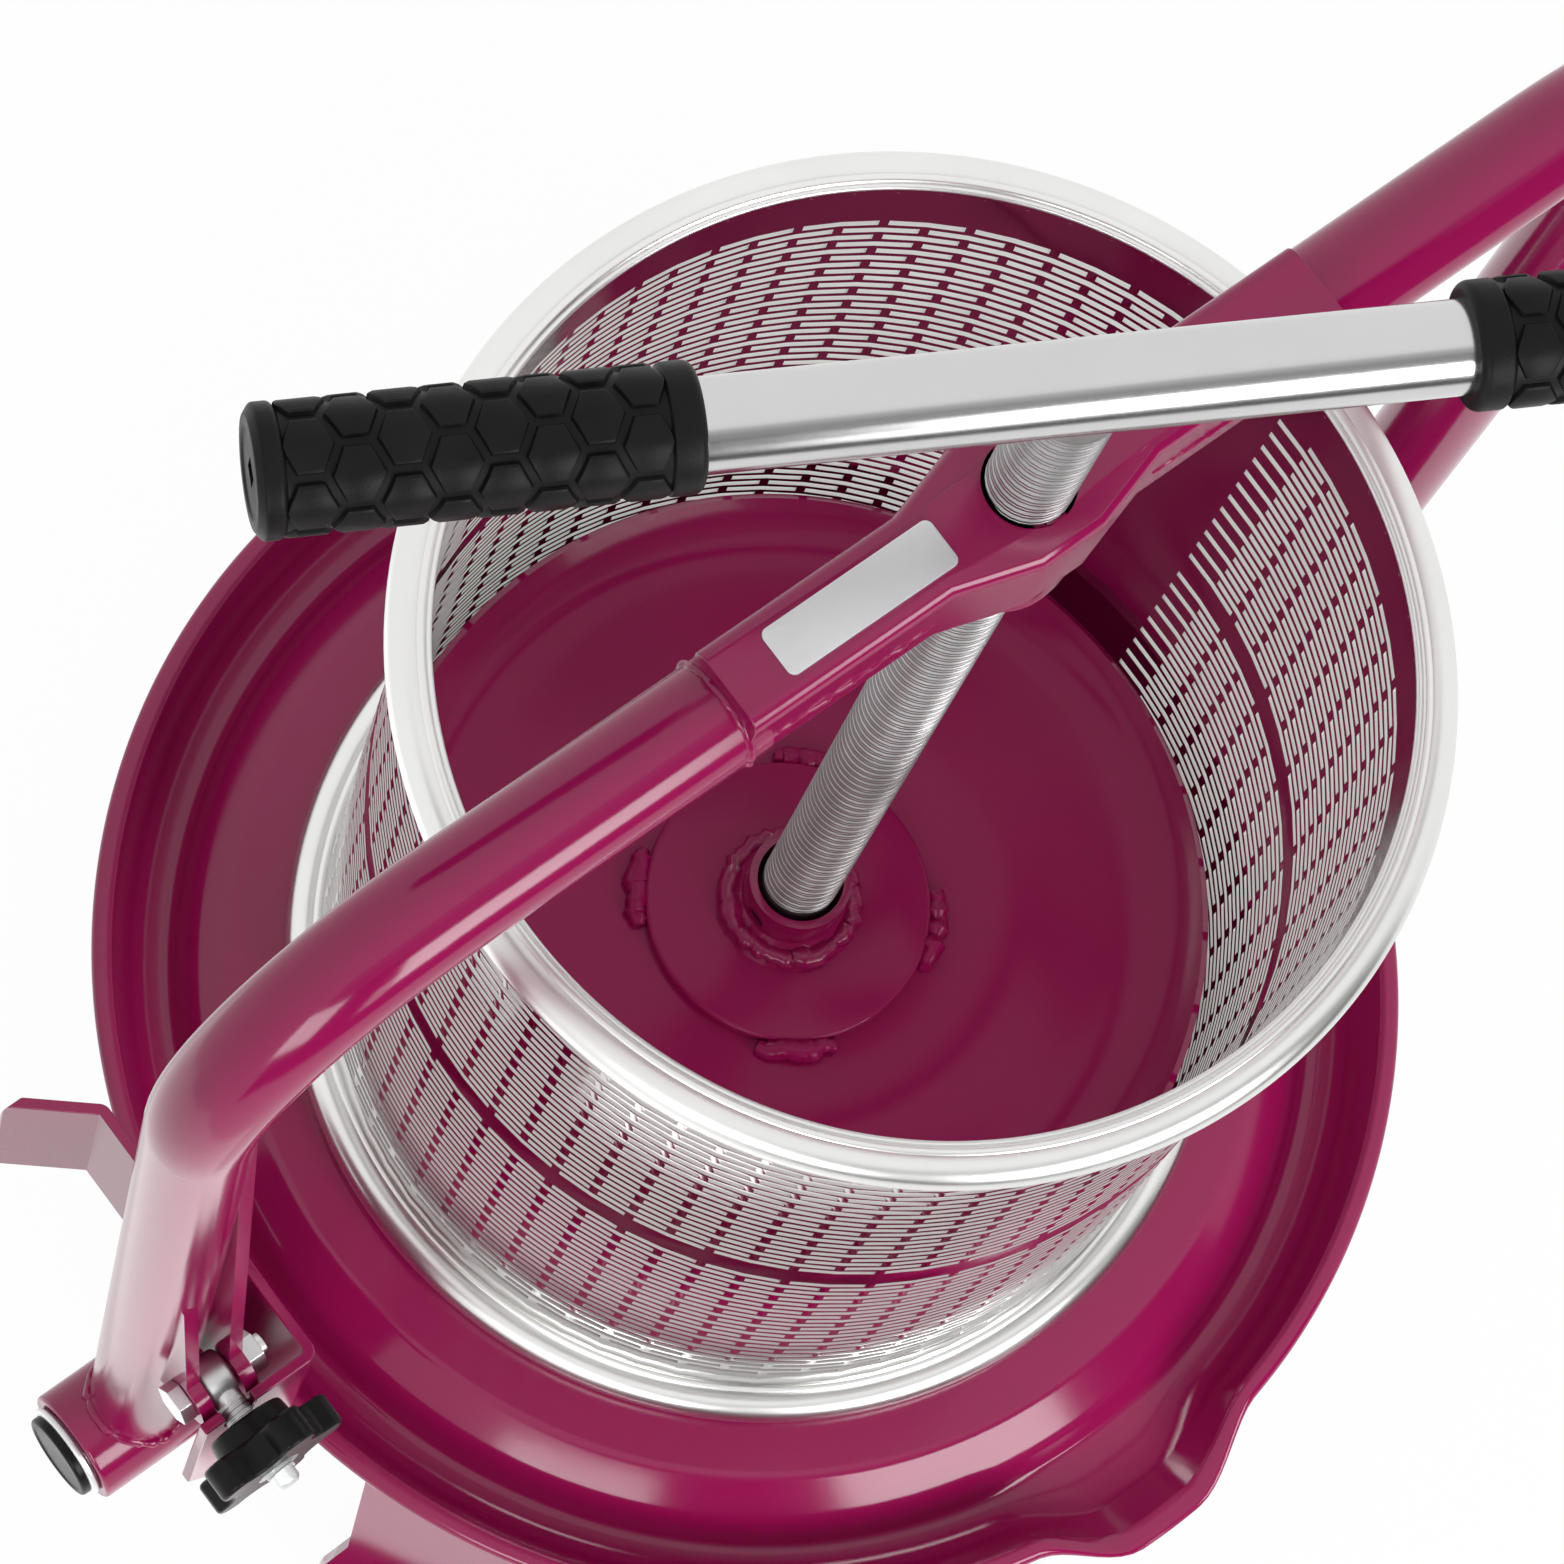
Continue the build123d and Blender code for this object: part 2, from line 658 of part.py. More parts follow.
def cross_hexagon(start, thickness):
    """A hexagon on the cross bolt's line, from a station towards +X."""
    radius = cross_bolt_across_flats / 2
    face = RegularPolygon(radius, 6, major_radius=False)
    return Pos(start, -latch_forward, latch_height) * extrude(Plane.YZ * face, thickness)


def clevis_bolt():
    """The cross bolt that the eye bolt swings on, its head outside."""
    half = lug_gap / 2 + lug_thickness
    end = half + cross_nut + cross_bolt_past_nut
    shank = along_x(
        cross_bolt_diameter, -latch_offset - half, -latch_offset + end, -latch_forward, latch_height
    )
    return shank + cross_hexagon(-latch_offset - half - cross_bolt_head, cross_bolt_head)


def clevis_nut():
    """The nut on the inner end of the cross bolt."""
    start = -latch_offset + lug_gap / 2 + lug_thickness
    nut = cross_hexagon(start, cross_nut)
    return nut - along_x(cross_bolt_diameter, start, start + cross_nut, -latch_forward, latch_height)


def eye_bolt():
    """The swing bolt: an eye on the cross bolt and a shank through the bracket's slot."""
    half = eye_width / 2
    eye = along_x(eye_diameter, -latch_offset - half, -latch_offset + half, -latch_forward, latch_height)
    tip = knob_far + eye_bolt_past_knob
    eye += along_y(eye_shank_diameter, -latch_forward, -tip, -latch_offset, latch_height)
    bore = cross_bolt_diameter + 2 * running_clearance
    return eye - along_x(bore, -latch_offset - half, -latch_offset + half, -latch_forward, latch_height)


def knob_insert():
    """The threaded metal insert moulded into the knob."""
    insert = along_y(insert_diameter, -knob_hub_near, -knob_far, -latch_offset, latch_height)
    bore = eye_shank_diameter + 2 * running_clearance
    return insert - along_y(bore, -knob_hub_near, -knob_far, -latch_offset, latch_height)


def star_knob():
    """The star knob: a round hub and a head of rounded lobes."""
    lobe_end = knob_radius - knob_lobe_width / 2
    lobe = Pos(lobe_end / 2, 0) * Rectangle(lobe_end, knob_lobe_width)
    lobe += Pos(lobe_end, 0) * Circle(knob_lobe_width / 2)
    star = Sketch() + Circle(knob_core_radius)
    for number in range(knob_lobes):
        star += Rot(0, 0, 360.0 / knob_lobes * number) * lobe
    near = Plane(origin=(-latch_offset, -knob_lobe_near, latch_height), x_dir=(1, 0, 0), z_dir=(0, -1, 0))
    knob = extrude(near * star, knob_lobe_length)
    knob += along_y(knob_hub_diameter, -knob_hub_near, -knob_lobe_near, -latch_offset, latch_height)
    return knob - along_y(insert_diameter, -knob_hub_near, -knob_far, -latch_offset, latch_height)


nodes = {
    "juice_tray": juice_tray(),
    "base_beam": base_beam(),
    "lock_bracket": lock_bracket(),
    "pivot_bracket": pivot_bracket(),
    "basket_wall": basket_wall(),
    "basket_top_rim": basket_rim(basket_high_bead),
    "basket_bottom_rim": basket_rim(basket_low_bead),
    "yoke_bridge": yoke_bridge(),
    "spindle_nut": spindle_nut(),
    "latch_clevis": latch_clevis(),
    "clevis_bolt": clevis_bolt(),
    "clevis_nut": clevis_nut(),
    "press_plate": press_plate(),
    "plate_disc": plate_disc(),
    "plate_hub": plate_hub(),
    "hub_screw": hub_screw(),
    "spindle": spindle(),
    "handle_bar": handle_bar(),
    "eye_bolt": eye_bolt(),
    "star_knob": star_knob(),
    "knob_insert": knob_insert(),
}
for name, angle in leg_angles.items():
    nodes[name] = leg(angle)
for name, side in {"left": -1, "right": 1}.items():
    nodes[f"pivot_axle_{name}"] = pivot_axle(side)
    nodes[f"axle_washer_{name}"] = axle_washer(side)
    nodes[f"axle_cap_{name}"] = axle_cap(side)
    nodes[f"yoke_sleeve_{name}"] = yoke_sleeve(side)
    nodes[f"yoke_tube_{name}"] = yoke_tube(side)
    nodes[f"grip_{name}"] = grip(side)

os.makedirs("parts", exist_ok=True)
for name, solid in nodes.items():
    export_step(solid, f"parts/{name}.step")
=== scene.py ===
"""Looks of a basket fruit press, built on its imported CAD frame.

Shapes are worked out in millimetres and turned into metres when a piece is finished. The basket stands on the
Z axis, the spout points to -Y, and the yoke lies in the XZ plane with its latch at -X.
"""

from __future__ import annotations

import json
import logging
import math
from dataclasses import dataclass, replace
from enum import Enum
from typing import Callable, Iterable, Sequence

import bmesh
import bpy
from mathutils import Matrix, Vector, noise

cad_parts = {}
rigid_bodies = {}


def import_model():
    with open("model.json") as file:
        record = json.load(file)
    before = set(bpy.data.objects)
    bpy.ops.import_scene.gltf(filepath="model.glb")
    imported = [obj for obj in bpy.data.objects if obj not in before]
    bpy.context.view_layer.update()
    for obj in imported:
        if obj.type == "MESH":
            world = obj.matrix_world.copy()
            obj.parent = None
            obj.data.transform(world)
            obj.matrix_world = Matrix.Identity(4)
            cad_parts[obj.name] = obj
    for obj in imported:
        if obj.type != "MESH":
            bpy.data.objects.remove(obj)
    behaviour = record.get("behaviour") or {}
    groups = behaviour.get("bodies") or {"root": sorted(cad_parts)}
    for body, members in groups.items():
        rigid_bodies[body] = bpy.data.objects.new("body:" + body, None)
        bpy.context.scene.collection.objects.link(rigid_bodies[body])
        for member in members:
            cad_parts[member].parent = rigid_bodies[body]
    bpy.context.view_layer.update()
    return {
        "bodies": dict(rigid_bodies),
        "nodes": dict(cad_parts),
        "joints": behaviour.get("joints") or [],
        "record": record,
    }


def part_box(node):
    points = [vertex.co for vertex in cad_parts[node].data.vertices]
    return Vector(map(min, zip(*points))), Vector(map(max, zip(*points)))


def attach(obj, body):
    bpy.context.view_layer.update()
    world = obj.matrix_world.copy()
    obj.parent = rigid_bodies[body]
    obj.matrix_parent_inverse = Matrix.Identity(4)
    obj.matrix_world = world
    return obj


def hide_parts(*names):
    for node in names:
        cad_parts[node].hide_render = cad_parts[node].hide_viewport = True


LOG = logging.getLogger("fruit_press")
MILLIMETRE = 0.001
MERGE_DISTANCE = 0.002
NOISE_SEED = 1
UP = Vector((0.0, 0.0, 1.0))
ALONG_X = Vector((1.0, 0.0, 0.0))
TOWARDS_SPOUT = Vector((0.0, -1.0, 0.0))
WHITE = (1.0, 1.0, 1.0, 1.0)
Triple = tuple[float, float, float]
Corner = tuple[float, float, float]


class Body(Enum):
    """The moving bodies that pieces ride on."""

    STAND = "stand"
    PLATE = "plate"
    SCREW = "screw"
    EYE_BOLT = "eye_bolt"
    KNOB = "knob"


class Slot(Enum):
    """The record's material slots."""

    PAINT = "wine_paint"
    STEEL = "stainless"
    ZINC = "zinc"
    RUBBER = "black_rubber"
    PLASTIC = "black_plastic"


class Side(Enum):
    """The two sides of the yoke and the T-bar."""

    LEFT = -1
    RIGHT = 1

    def node(self, stem: str) -> str:
        """The name of this side's node."""
        return f"{stem}_{self.name.lower()}"


def node_low(node: str) -> Vector:
    """A node's lowest corner in millimetres."""
    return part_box(node)[0] / MILLIMETRE


def node_high(node: str) -> Vector:
    """A node's highest corner in millimetres."""
    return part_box(node)[1] / MILLIMETRE


def smooth_share(value: float, start: float, end: float) -> float:
    """A share that eases from 0 at start to 1 at end."""
    share = min(max((value - start) / (end - start), 0.0), 1.0)
    return share * share * (3.0 - 2.0 * share)


def rounded(corners: Sequence[Corner], segments: int = 6, closed: bool = False) -> list[Vector]:
    """Turns corner points into a line whose corners are arcs.

    Args:
        corners: Points as (across, up, corner radius).
        segments: Straight pieces in each arc.
        closed: Whether the last corner joins the first.

    Returns:
        The points of the line.
    """
    line: list[Vector] = []
    count = len(corners)
    for index, (across, up, radius) in enumerate(corners):
        here = Vector((across, up))
        if radius <= 0.0 or not (closed or 0 < index < count - 1):
            line.append(here)
            continue
        before = (Vector(corners[index - 1][:2]) - here).normalized()
        after = (Vector(corners[(index + 1) % count][:2]) - here).normalized()
        half = before.angle(after) / 2
        run = radius / math.tan(half)
        middle = here + (before + after).normalized() * (radius / math.sin(half))
        first = here + before * run - middle
        last = here + after * run - middle
        start = math.atan2(first.y, first.x)
        turn = math.remainder(math.atan2(last.y, last.x) - start, math.tau)
        for step in range(segments + 1):
            angle = start + turn * step / segments
            line.append(middle + radius * Vector((math.cos(angle), math.sin(angle))))
    return line


def lathe(bm: bmesh.types.BMesh, outline: Sequence[Vector], steps: int, closed: bool = False) -> None:
    """Spins an outline of (radius, height) points round the Z axis.

    Args:
        bm: The mesh that takes the shape.
        outline: The points of the outline.
        steps: Faces round the axis.
        closed: Whether the outline is a ring in section.
    """
    verts = [bm.verts.new((point.x, 0.0, point.y)) for point in outline]
    pairs = list(zip(verts, verts[1:]))
    if closed:
        pairs.append((verts[-1], verts[0]))
    edges = [bm.edges.new(pair) for pair in pairs]
    bmesh.ops.spin(
        bm, geom=[*verts, *edges], axis=UP, angle=math.tau, steps=steps, use_merge=True
    )
    bmesh.ops.remove_doubles(bm, verts=bm.verts, dist=MERGE_DISTANCE)
    bmesh.ops.recalc_face_normals(bm, faces=bm.faces)


def thread(bm: bmesh.types.BMesh, root: float, crest: float, pitch: float, low: float, turns: int) -> None:
    """Winds a screw thread up the Z axis, with a fine score line along its broad ridge.

    Args:
        bm: The mesh that takes the thread.
        root: Radius at the bottom of the groove.
        crest: Radius at the top of the ridge.
        pitch: Rise of one turn.
        low: Height where the first turn starts.
        turns: Number of turns.
    """
    steps_a_turn = 28
    score_depth = 0.4
    score = crest - score_depth * (crest - root)
    ridge = ((crest, 0.0), (crest, 0.22), (score, 0.29), (crest, 0.36), (crest, 0.58))
    groove = ((root, 0.74), (root, 0.84), (crest, 1.0))
    verts = [bm.verts.new((radius, 0.0, low + share * pitch)) for radius, share in (*ridge, *groove)]
    edges = [bm.edges.new(pair) for pair in zip(verts, verts[1:])]
    bmesh.ops.spin(
        bm,
        geom=[*verts, *edges],
        axis=UP,
        dvec=(0.0, 0.0, pitch / steps_a_turn),
        angle=math.tau * turns,
        steps=steps_a_turn * turns,
    )
    bmesh.ops.remove_doubles(bm, verts=bm.verts, dist=pitch / 200)
    bmesh.ops.recalc_face_normals(bm, faces=bm.faces)


def run_ring(bm: bmesh.types.BMesh, edges: Sequence[bmesh.types.BMEdge], move: Vector) -> list:
    """Extrudes a ring of edges along a straight run.

    Args:
        bm: The mesh that holds the ring.
        edges: The ring's edges.
        move: The run.

    Returns:
        The edges of the ring at the far end.
    """
    made = bmesh.ops.extrude_edge_only(bm, edges=edges)["geom"]
    verts = {item for item in made if isinstance(item, bmesh.types.BMVert)}
    bmesh.ops.translate(bm, vec=move, verts=list(verts))
    rings = [item for item in made if isinstance(item, bmesh.types.BMEdge)]
    return [edge for edge in rings if verts.issuperset(edge.verts)]


def bend_ring(
    bm: bmesh.types.BMesh, edges: Sequence, centre: Vector, axis: Vector, angle: float, steps: int
) -> list:
    """Carries a ring of edges round a bend.

    Args:
        bm: The mesh that holds the ring.
        edges: The ring's edges.
        centre: The bend's centre.
        axis: The axis of the bend.
        angle: The bend's angle in radians.
        steps: Faces along the bend.

    Returns:
        The edges of the ring at the far end.
    """
    verts = dict.fromkeys(vert for edge in edges for vert in edge.verts)
    made = bmesh.ops.spin(
        bm, geom=[*verts, *edges], cent=centre, axis=axis, angle=angle, steps=steps
    )["geom_last"]
    return [item for item in made if isinstance(item, bmesh.types.BMEdge)]


def slab(bm: bmesh.types.BMesh, outline: Sequence[Vector], thickness: float) -> list:
    """Extrudes a flat outline upwards from z = 0.

    Args:
        bm: The mesh that takes the slab.
        outline: The points of the outline.
        thickness: The slab's thickness.

    Returns:
        The edges round the slab's upper face.
    """
    face = bm.faces.new([bm.verts.new((point.x, point.y, 0.0)) for point in outline])
    made = bmesh.ops.extrude_face_region(bm, geom=[face], use_keep_orig=True)["geom"]
    verts = {item for item in made if isinstance(item, bmesh.types.BMVert)}
    bmesh.ops.translate(bm, vec=(0.0, 0.0, thickness), verts=list(verts))
    bmesh.ops.recalc_face_normals(bm, faces=bm.faces)
    edges = [item for item in made if isinstance(item, bmesh.types.BMEdge)]
    return [edge for edge in edges if verts.issuperset(edge.verts)]


def ease(bm: bmesh.types.BMesh, edges: Iterable, radius: float, segments: int = 3) -> None:
    """Rounds edges over by a small radius.

    Args:
        bm: The mesh that holds the edges.
        edges: The edges.
        radius: The radius.
        segments: Faces across each rounded edge.
    """
    bmesh.ops.bevel(
        bm,
        geom=list(edges),
        offset=radius,
        offset_type="OFFSET",
        affect="EDGES",
        segments=segments,
        profile=0.5,
        material=-1,
        clamp_overlap=True,
    )


def turn_onto(bm: bmesh.types.BMesh, axis: Vector, origin: Vector) -> None:
    """Turns a shape made along Z onto another axis and carries it to its place."""
    turn = axis.to_track_quat("Z", "Y").to_matrix().to_4x4()
    bmesh.ops.transform(bm, matrix=Matrix.Translation(origin) @ turn, verts=bm.verts)


def mirror_across(bm: bmesh.types.BMesh, side: Side) -> None:
    """Flips a shape made on the right side onto the side that is asked for.

    Args:
        bm: The shape.
        side: The side it goes on.
    """
    if side is Side.LEFT:
        bmesh.ops.scale(bm, vec=(-1.0, 1.0, 1.0), verts=bm.verts)
        bmesh.ops.reverse_faces(bm, faces=bm.faces)


def level_arc(reach: float, height: float, middle: float, span: float) -> Callable[[float], Vector]:
    """A level arc round the Z axis.

    Args:
        reach: The arc's radius.
        height: Its height.
        middle: Where its middle is, in degrees from X.
        span: How far it goes round, in degrees.

    Returns:
        The path that gives the point at a share of the way along the arc.
    """

    def point(share: float) -> Vector:
        """The point at a share of the way."""
        turn = math.radians(middle + span * (share - 0.5))
        return Vector((reach * math.cos(turn), reach * math.sin(turn), height))

    return point


@dataclass(frozen=True)
class Raggedness:
    """How uneven a weld bead is: the length of a ripple, and how far it strays, swells and tapers."""

    ripple: float = 1.1
    stray: float = 0.35
    stray_scale: float = 0.35
    swell: float = 0.55
    swell_scale: float = 0.55
    taper_start: float = 0.12
    taper_run: float = 0.76


HAND_WELD = Raggedness()


def weld_bead(
    bm: bmesh.types.BMesh,
    path: Callable[[float], Vector],
    length: float,
    radius: float,
    seed: float,
    closed: bool = False,
) -> None:
    """Lays a ragged bead of weld along a path.

    Args:
        bm: The mesh that takes the bead.
        path: Gives the point at a share of the way, from 0 to 1.
        length: About how long the path is.
        radius: The bead's mean radius.
        seed: Where the raggedness is read, so that no two beads match.
        closed: Whether the path is a loop.
    """
    weld = HAND_WELD
    count = max(int(length / weld.ripple), 4)
    curve = bpy.data.curves.new("weld_path", "CURVE")
    curve.dimensions = "3D"
    curve.bevel_depth = 1.0
    curve.bevel_resolution = 3
    curve.use_fill_caps = not closed
    spline = curve.splines.new("POLY")
    spline.points.add(count - 1)
    for index, point in enumerate(spline.points):
        share = index / (count if closed else count - 1)
        place = path(share)
        stray = noise.noise_vector(place * weld.stray_scale + Vector((seed, 0.0, 0.0)))
        swell = 1.0 + weld.swell * noise.noise(place * weld.swell_scale + Vector((0.0, seed, 0.0)))
        taper = 1.0
        if not closed:
            taper = math.sin(math.pi * (weld.taper_start + weld.taper_run * share)) ** 0.5
        point.co = (*(place + stray * radius * weld.stray), 1.0)
        point.radius = radius * swell * taper
    spline.use_cyclic_u = closed
    carrier = bpy.data.objects.new("weld_path", curve)
    mesh = bpy.data.meshes.new_from_object(carrier)
    bm.from_mesh(mesh)
    bpy.data.meshes.remove(mesh)
    bpy.data.objects.remove(carrier)
    bpy.data.curves.remove(curve)


def add_piece(
    name: str,
    bm: bmesh.types.BMesh,
    finish: bpy.types.Material,
    body: Body,
    nodes: Sequence[str] = (),
    crease: float = 38.0,
    weighted: bool = False,
) -> bpy.types.Object:
    """Turns a mesh into a finished piece that rides on a body.

    Args:
        name: The piece's name.
        bm: Its mesh in millimetres, which is used up.
        finish: Its material.
        body: The body it rides on.
        nodes: The CAD nodes it stands for.
        crease: The angle above which an edge is sharp, in degrees.
        weighted: Whether flat faces keep their shading beside eased edges.

    Returns:
        The piece.
    """
    bmesh.ops.scale(bm, vec=(MILLIMETRE,) * 3, verts=bm.verts)
    mesh = bpy.data.meshes.new(name)
    bm.to_mesh(mesh)
    bm.free()
    mesh.shade_smooth()
    mesh.set_sharp_from_angle(angle=math.radians(crease))
    mesh.materials.append(finish)
    piece = bpy.data.objects.new(name, mesh)
    bpy.context.scene.collection.objects.link(piece)
    if weighted:
        modifier = piece.modifiers.new("even_flats", "WEIGHTED_NORMAL")
        modifier.keep_sharp = True
    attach(piece, body.value)
    if nodes:
        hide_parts(*nodes)
    LOG.info("%s rides on %s with %d faces", name, body.value, len(mesh.polygons))
    return piece


class NodeSheet:
    """Adds and joins the nodes of one shader tree."""

    def __init__(self, tree: bpy.types.NodeTree) -> None:
        """Takes the tree that the nodes go into."""
        self.tree = tree

    def add(self, kind: str, **settings: object) -> bpy.types.Node:
        """Adds a node and sets its own properties.

        Args:
            kind: The node's type.
            settings: The properties by name.

        Returns:
            The node.
        """
        node = self.tree.nodes.new(kind)
        for name, value in settings.items():
            setattr(node, name, value)
        return node

    def join(self, source: bpy.types.NodeSocket, target: bpy.types.NodeSocket) -> None:
        """Links one socket to another."""
        self.tree.links.new(source, target)

    def feed(self, node: bpy.types.Node, **values: object) -> None:
        """Sets a node's inputs by name, with _ for a space.

        Args:
            node: The node.
            values: What each input is given: a socket is linked, anything else is a value.
        """
        for name, value in values.items():
            socket = node.inputs[name.replace("_", " ")]
            if isinstance(value, bpy.types.NodeSocket):
                self.join(value, socket)
            else:
                socket.default_value = value


def new_group(name: str, inputs: dict[str, tuple[str, object]], outputs: dict[str, str]) -> NodeSheet:
    """Starts a shader node group.

    Args:
        name: The group's name.
        inputs: Socket names with their type and default.
        outputs: Socket names with their type.

    Returns:
        The sheet of the group, with its input and output nodes in place.
    """
    tree = bpy.data.node_groups.new(name, "ShaderNodeTree")
    for label, (kind, default) in inputs.items():
        socket = tree.interface.new_socket(label, in_out="INPUT", socket_type=kind)
        if default is not None:
            socket.default_value = default
    for label, kind in outputs.items():
        tree.interface.new_socket(label, in_out="OUTPUT", socket_type=kind)
    sheet = NodeSheet(tree)
    sheet.add("NodeGroupInput", name="given")
    sheet.add("NodeGroupOutput", name="result")
    return sheet


class Effects:
    """The surface effects that several finishes share, each as one node group."""

    def __init__(self) -> None:
        """Builds the groups once."""
        self.mottle = self._mottle()
        self.grain = self._grain()
        self.turned = self._turned()

    def _mottle(self) -> bpy.types.NodeTree:
        """Soft patches that carry a value and a colour from one end of a range to the other.

        Returns:
            The group.
        """
        sheet = new_group(
            "mottle",
            {
                "Vector": ("NodeSocketVector", None),
                "Scale": ("NodeSocketFloat", 30.0),
                "Low": ("NodeSocketFloat", 0.2),
                "High": ("NodeSocketFloat", 0.3),
                "First": ("NodeSocketColor", (0.5, 0.5, 0.5, 1.0)),
                "Second": ("NodeSocketColor", (0.5, 0.5, 0.5, 1.0)),
            },
            {"Value": "NodeSocketFloat", "Colour": "NodeSocketColor"},
        )
        given = sheet.tree.nodes["given"].outputs
        result = sheet.tree.nodes["result"]
        cloud = sheet.add("ShaderNodeTexNoise")
        sheet.feed(cloud, Vector=given["Vector"], Scale=given["Scale"], Detail=4.0, Roughness=0.6)
        spread = sheet.add("ShaderNodeMapRange")
        sheet.feed(spread, Value=cloud.outputs["Fac"], From_Min=0.3, From_Max=0.7)
        level = sheet.add("ShaderNodeMapRange")
        sheet.feed(level, Value=spread.outputs["Result"], To_Min=given["Low"], To_Max=given["High"])
        blend = sheet.add("ShaderNodeMix", data_type="RGBA")
        sheet.join(spread.outputs["Result"], blend.inputs[0])
        sheet.join(given["First"], blend.inputs[6])
        sheet.join(given["Second"], blend.inputs[7])
        sheet.feed(result, Value=level.outputs["Result"], Colour=blend.outputs[2])
        return sheet.tree

    def _grain(self) -> bpy.types.NodeTree:
        """Fine relief, drawn out along an axis where its stretch isn't even.

        Returns:
            The group.
        """
        sheet = new_group(
            "grain",
            {
                "Vector": ("NodeSocketVector", None),
                "Stretch": ("NodeSocketVector", (1.0, 1.0, 1.0)),
                "Scale": ("NodeSocketFloat", 400.0),
            },
            {"Height": "NodeSocketFloat"},
        )
        given = sheet.tree.nodes["given"].outputs
        result = sheet.tree.nodes["result"]
        drawn = sheet.add("ShaderNodeVectorMath", operation="MULTIPLY")
        sheet.join(given["Vector"], drawn.inputs[0])
        sheet.join(given["Stretch"], drawn.inputs[1])
        speck = sheet.add("ShaderNodeTexNoise")
        sheet.feed(speck, Vector=drawn.outputs["Vector"], Scale=given["Scale"], Detail=3.0)
        sheet.feed(result, Height=speck.outputs["Fac"])
        return sheet.tree

    def _turned(self) -> bpy.types.NodeTree:
        """Fine rings round the Z axis, as turning and rolling leave them.

        Returns:
            The group.
        """
        sheet = new_group(
            "turned_rings",
            {"Vector": ("NodeSocketVector", None), "Scale": ("NodeSocketFloat", 900.0)},
            {"Height": "NodeSocketFloat"},
        )
        given = sheet.tree.nodes["given"].outputs
        result = sheet.tree.nodes["result"]
        split = sheet.add("ShaderNodeSeparateXYZ")
        sheet.join(given["Vector"], split.inputs[0])
        flat = sheet.add("ShaderNodeCombineXYZ")
        sheet.feed(flat, X=split.outputs["X"], Y=split.outputs["Y"])
        radius = sheet.add("ShaderNodeVectorMath", operation="LENGTH")
        sheet.join(flat.outputs["Vector"], radius.inputs[0])
        place = sheet.add("ShaderNodeCombineXYZ")
        sheet.feed(place, X=radius.outputs["Value"], Y=split.outputs["Z"])
        rings = sheet.add("ShaderNodeTexNoise")
        sheet.feed(rings, Vector=place.outputs["Vector"], Scale=given["Scale"], Detail=2.0)
        sheet.feed(result, Height=rings.outputs["Fac"])
        return sheet.tree


class Relief(Enum):
    """How a finish's fine relief runs."""

    GRAIN = "grain"
    TURNED = "turned"


@dataclass(frozen=True)
class Finish:
    """One finish: its colours, gloss and fine relief."""

    name: str
    first: Triple
    second: Triple
    patch_scale: float
    roughness: tuple[float, float]
    metallic: float = 0.0
    specular: float = 0.5
    relief: Relief = Relief.GRAIN
    relief_scale: float = 400.0
    relief_stretch: Triple = (1.0, 1.0, 1.0)
    relief_strength: float = 0.05
    relief_depth: float = 0.0001

    def material(self, effects: Effects) -> bpy.types.Material:
        """Makes the finish's material.

        Args:
            effects: The shared node groups.

        Returns:
            The material.
        """
        material = bpy.data.materials.new(self.name)
        material.use_nodes = True
        sheet = NodeSheet(material.node_tree)
        shader = material.node_tree.nodes["Principled BSDF"]
        place = sheet.add("ShaderNodeTexCoord").outputs["Object"]
        patches = sheet.add("ShaderNodeGroup", node_tree=effects.mottle)
        sheet.feed(
            patches,
            Vector=place,
            Scale=self.patch_scale,
            Low=self.roughness[0],
            High=self.roughness[1],
            First=(*self.first, 1.0),
            Second=(*self.second, 1.0),
        )
        if self.relief is Relief.TURNED:
            fine = sheet.add("ShaderNodeGroup", node_tree=effects.turned)
            sheet.feed(fine, Vector=place, Scale=self.relief_scale)
        else:
            fine = sheet.add("ShaderNodeGroup", node_tree=effects.grain)
            sheet.feed(fine, Vector=place, Scale=self.relief_scale, Stretch=self.relief_stretch)
        bump = sheet.add("ShaderNodeBump")
        sheet.feed(bump, Strength=self.relief_strength, Distance=self.relief_depth)
        sheet.feed(bump, Height=fine.outputs["Height"])
        sheet.feed(
            shader,
            Base_Color=patches.outputs["Colour"],
            Roughness=patches.outputs["Value"],
            Normal=bump.outputs["Normal"],
            Metallic=self.metallic,
            Specular_IOR_Level=self.specular,
        )
        return material


WINE_PAINT = Finish(
    name="wine_paint",
    first=(0.275, 0.004, 0.072),
    second=(0.295, 0.005, 0.079),
    patch_scale=9.0,
    roughness=(0.12, 0.16),
    specular=0.45,
    relief_scale=260.0,
    relief_strength=0.06,
    relief_depth=0.0002,
)
# The same wine paint with weaker reflection, for the press plate and its disc: the lower specular paints in
# the darker reflections they get down in the basket under the yoke (painted shade).
PLATE_SHADED_PAINT = replace(WINE_PAINT, name="press_plate_shade_paint", specular=0.2)
ROLLED_STEEL = Finish(
    name="rolled_steel",
    first=(0.86, 0.86, 0.85),
    second=(0.80, 0.80, 0.79),
    patch_scale=14.0,
    roughness=(0.26, 0.34),
    metallic=1.0,
    relief=Relief.TURNED,
    relief_scale=1400.0,
    relief_strength=0.06,
)
BASKET_STEEL = Finish(
    name="basket_steel",
    first=(0.70, 0.69, 0.68),
    second=(0.63, 0.62, 0.61),
    patch_scale=22.0,
    roughness=(0.05, 0.09),
    metallic=1.0,
    relief_scale=900.0,
    relief_stretch=(1.0, 1.0, 0.15),
    relief_strength=0.02,
)
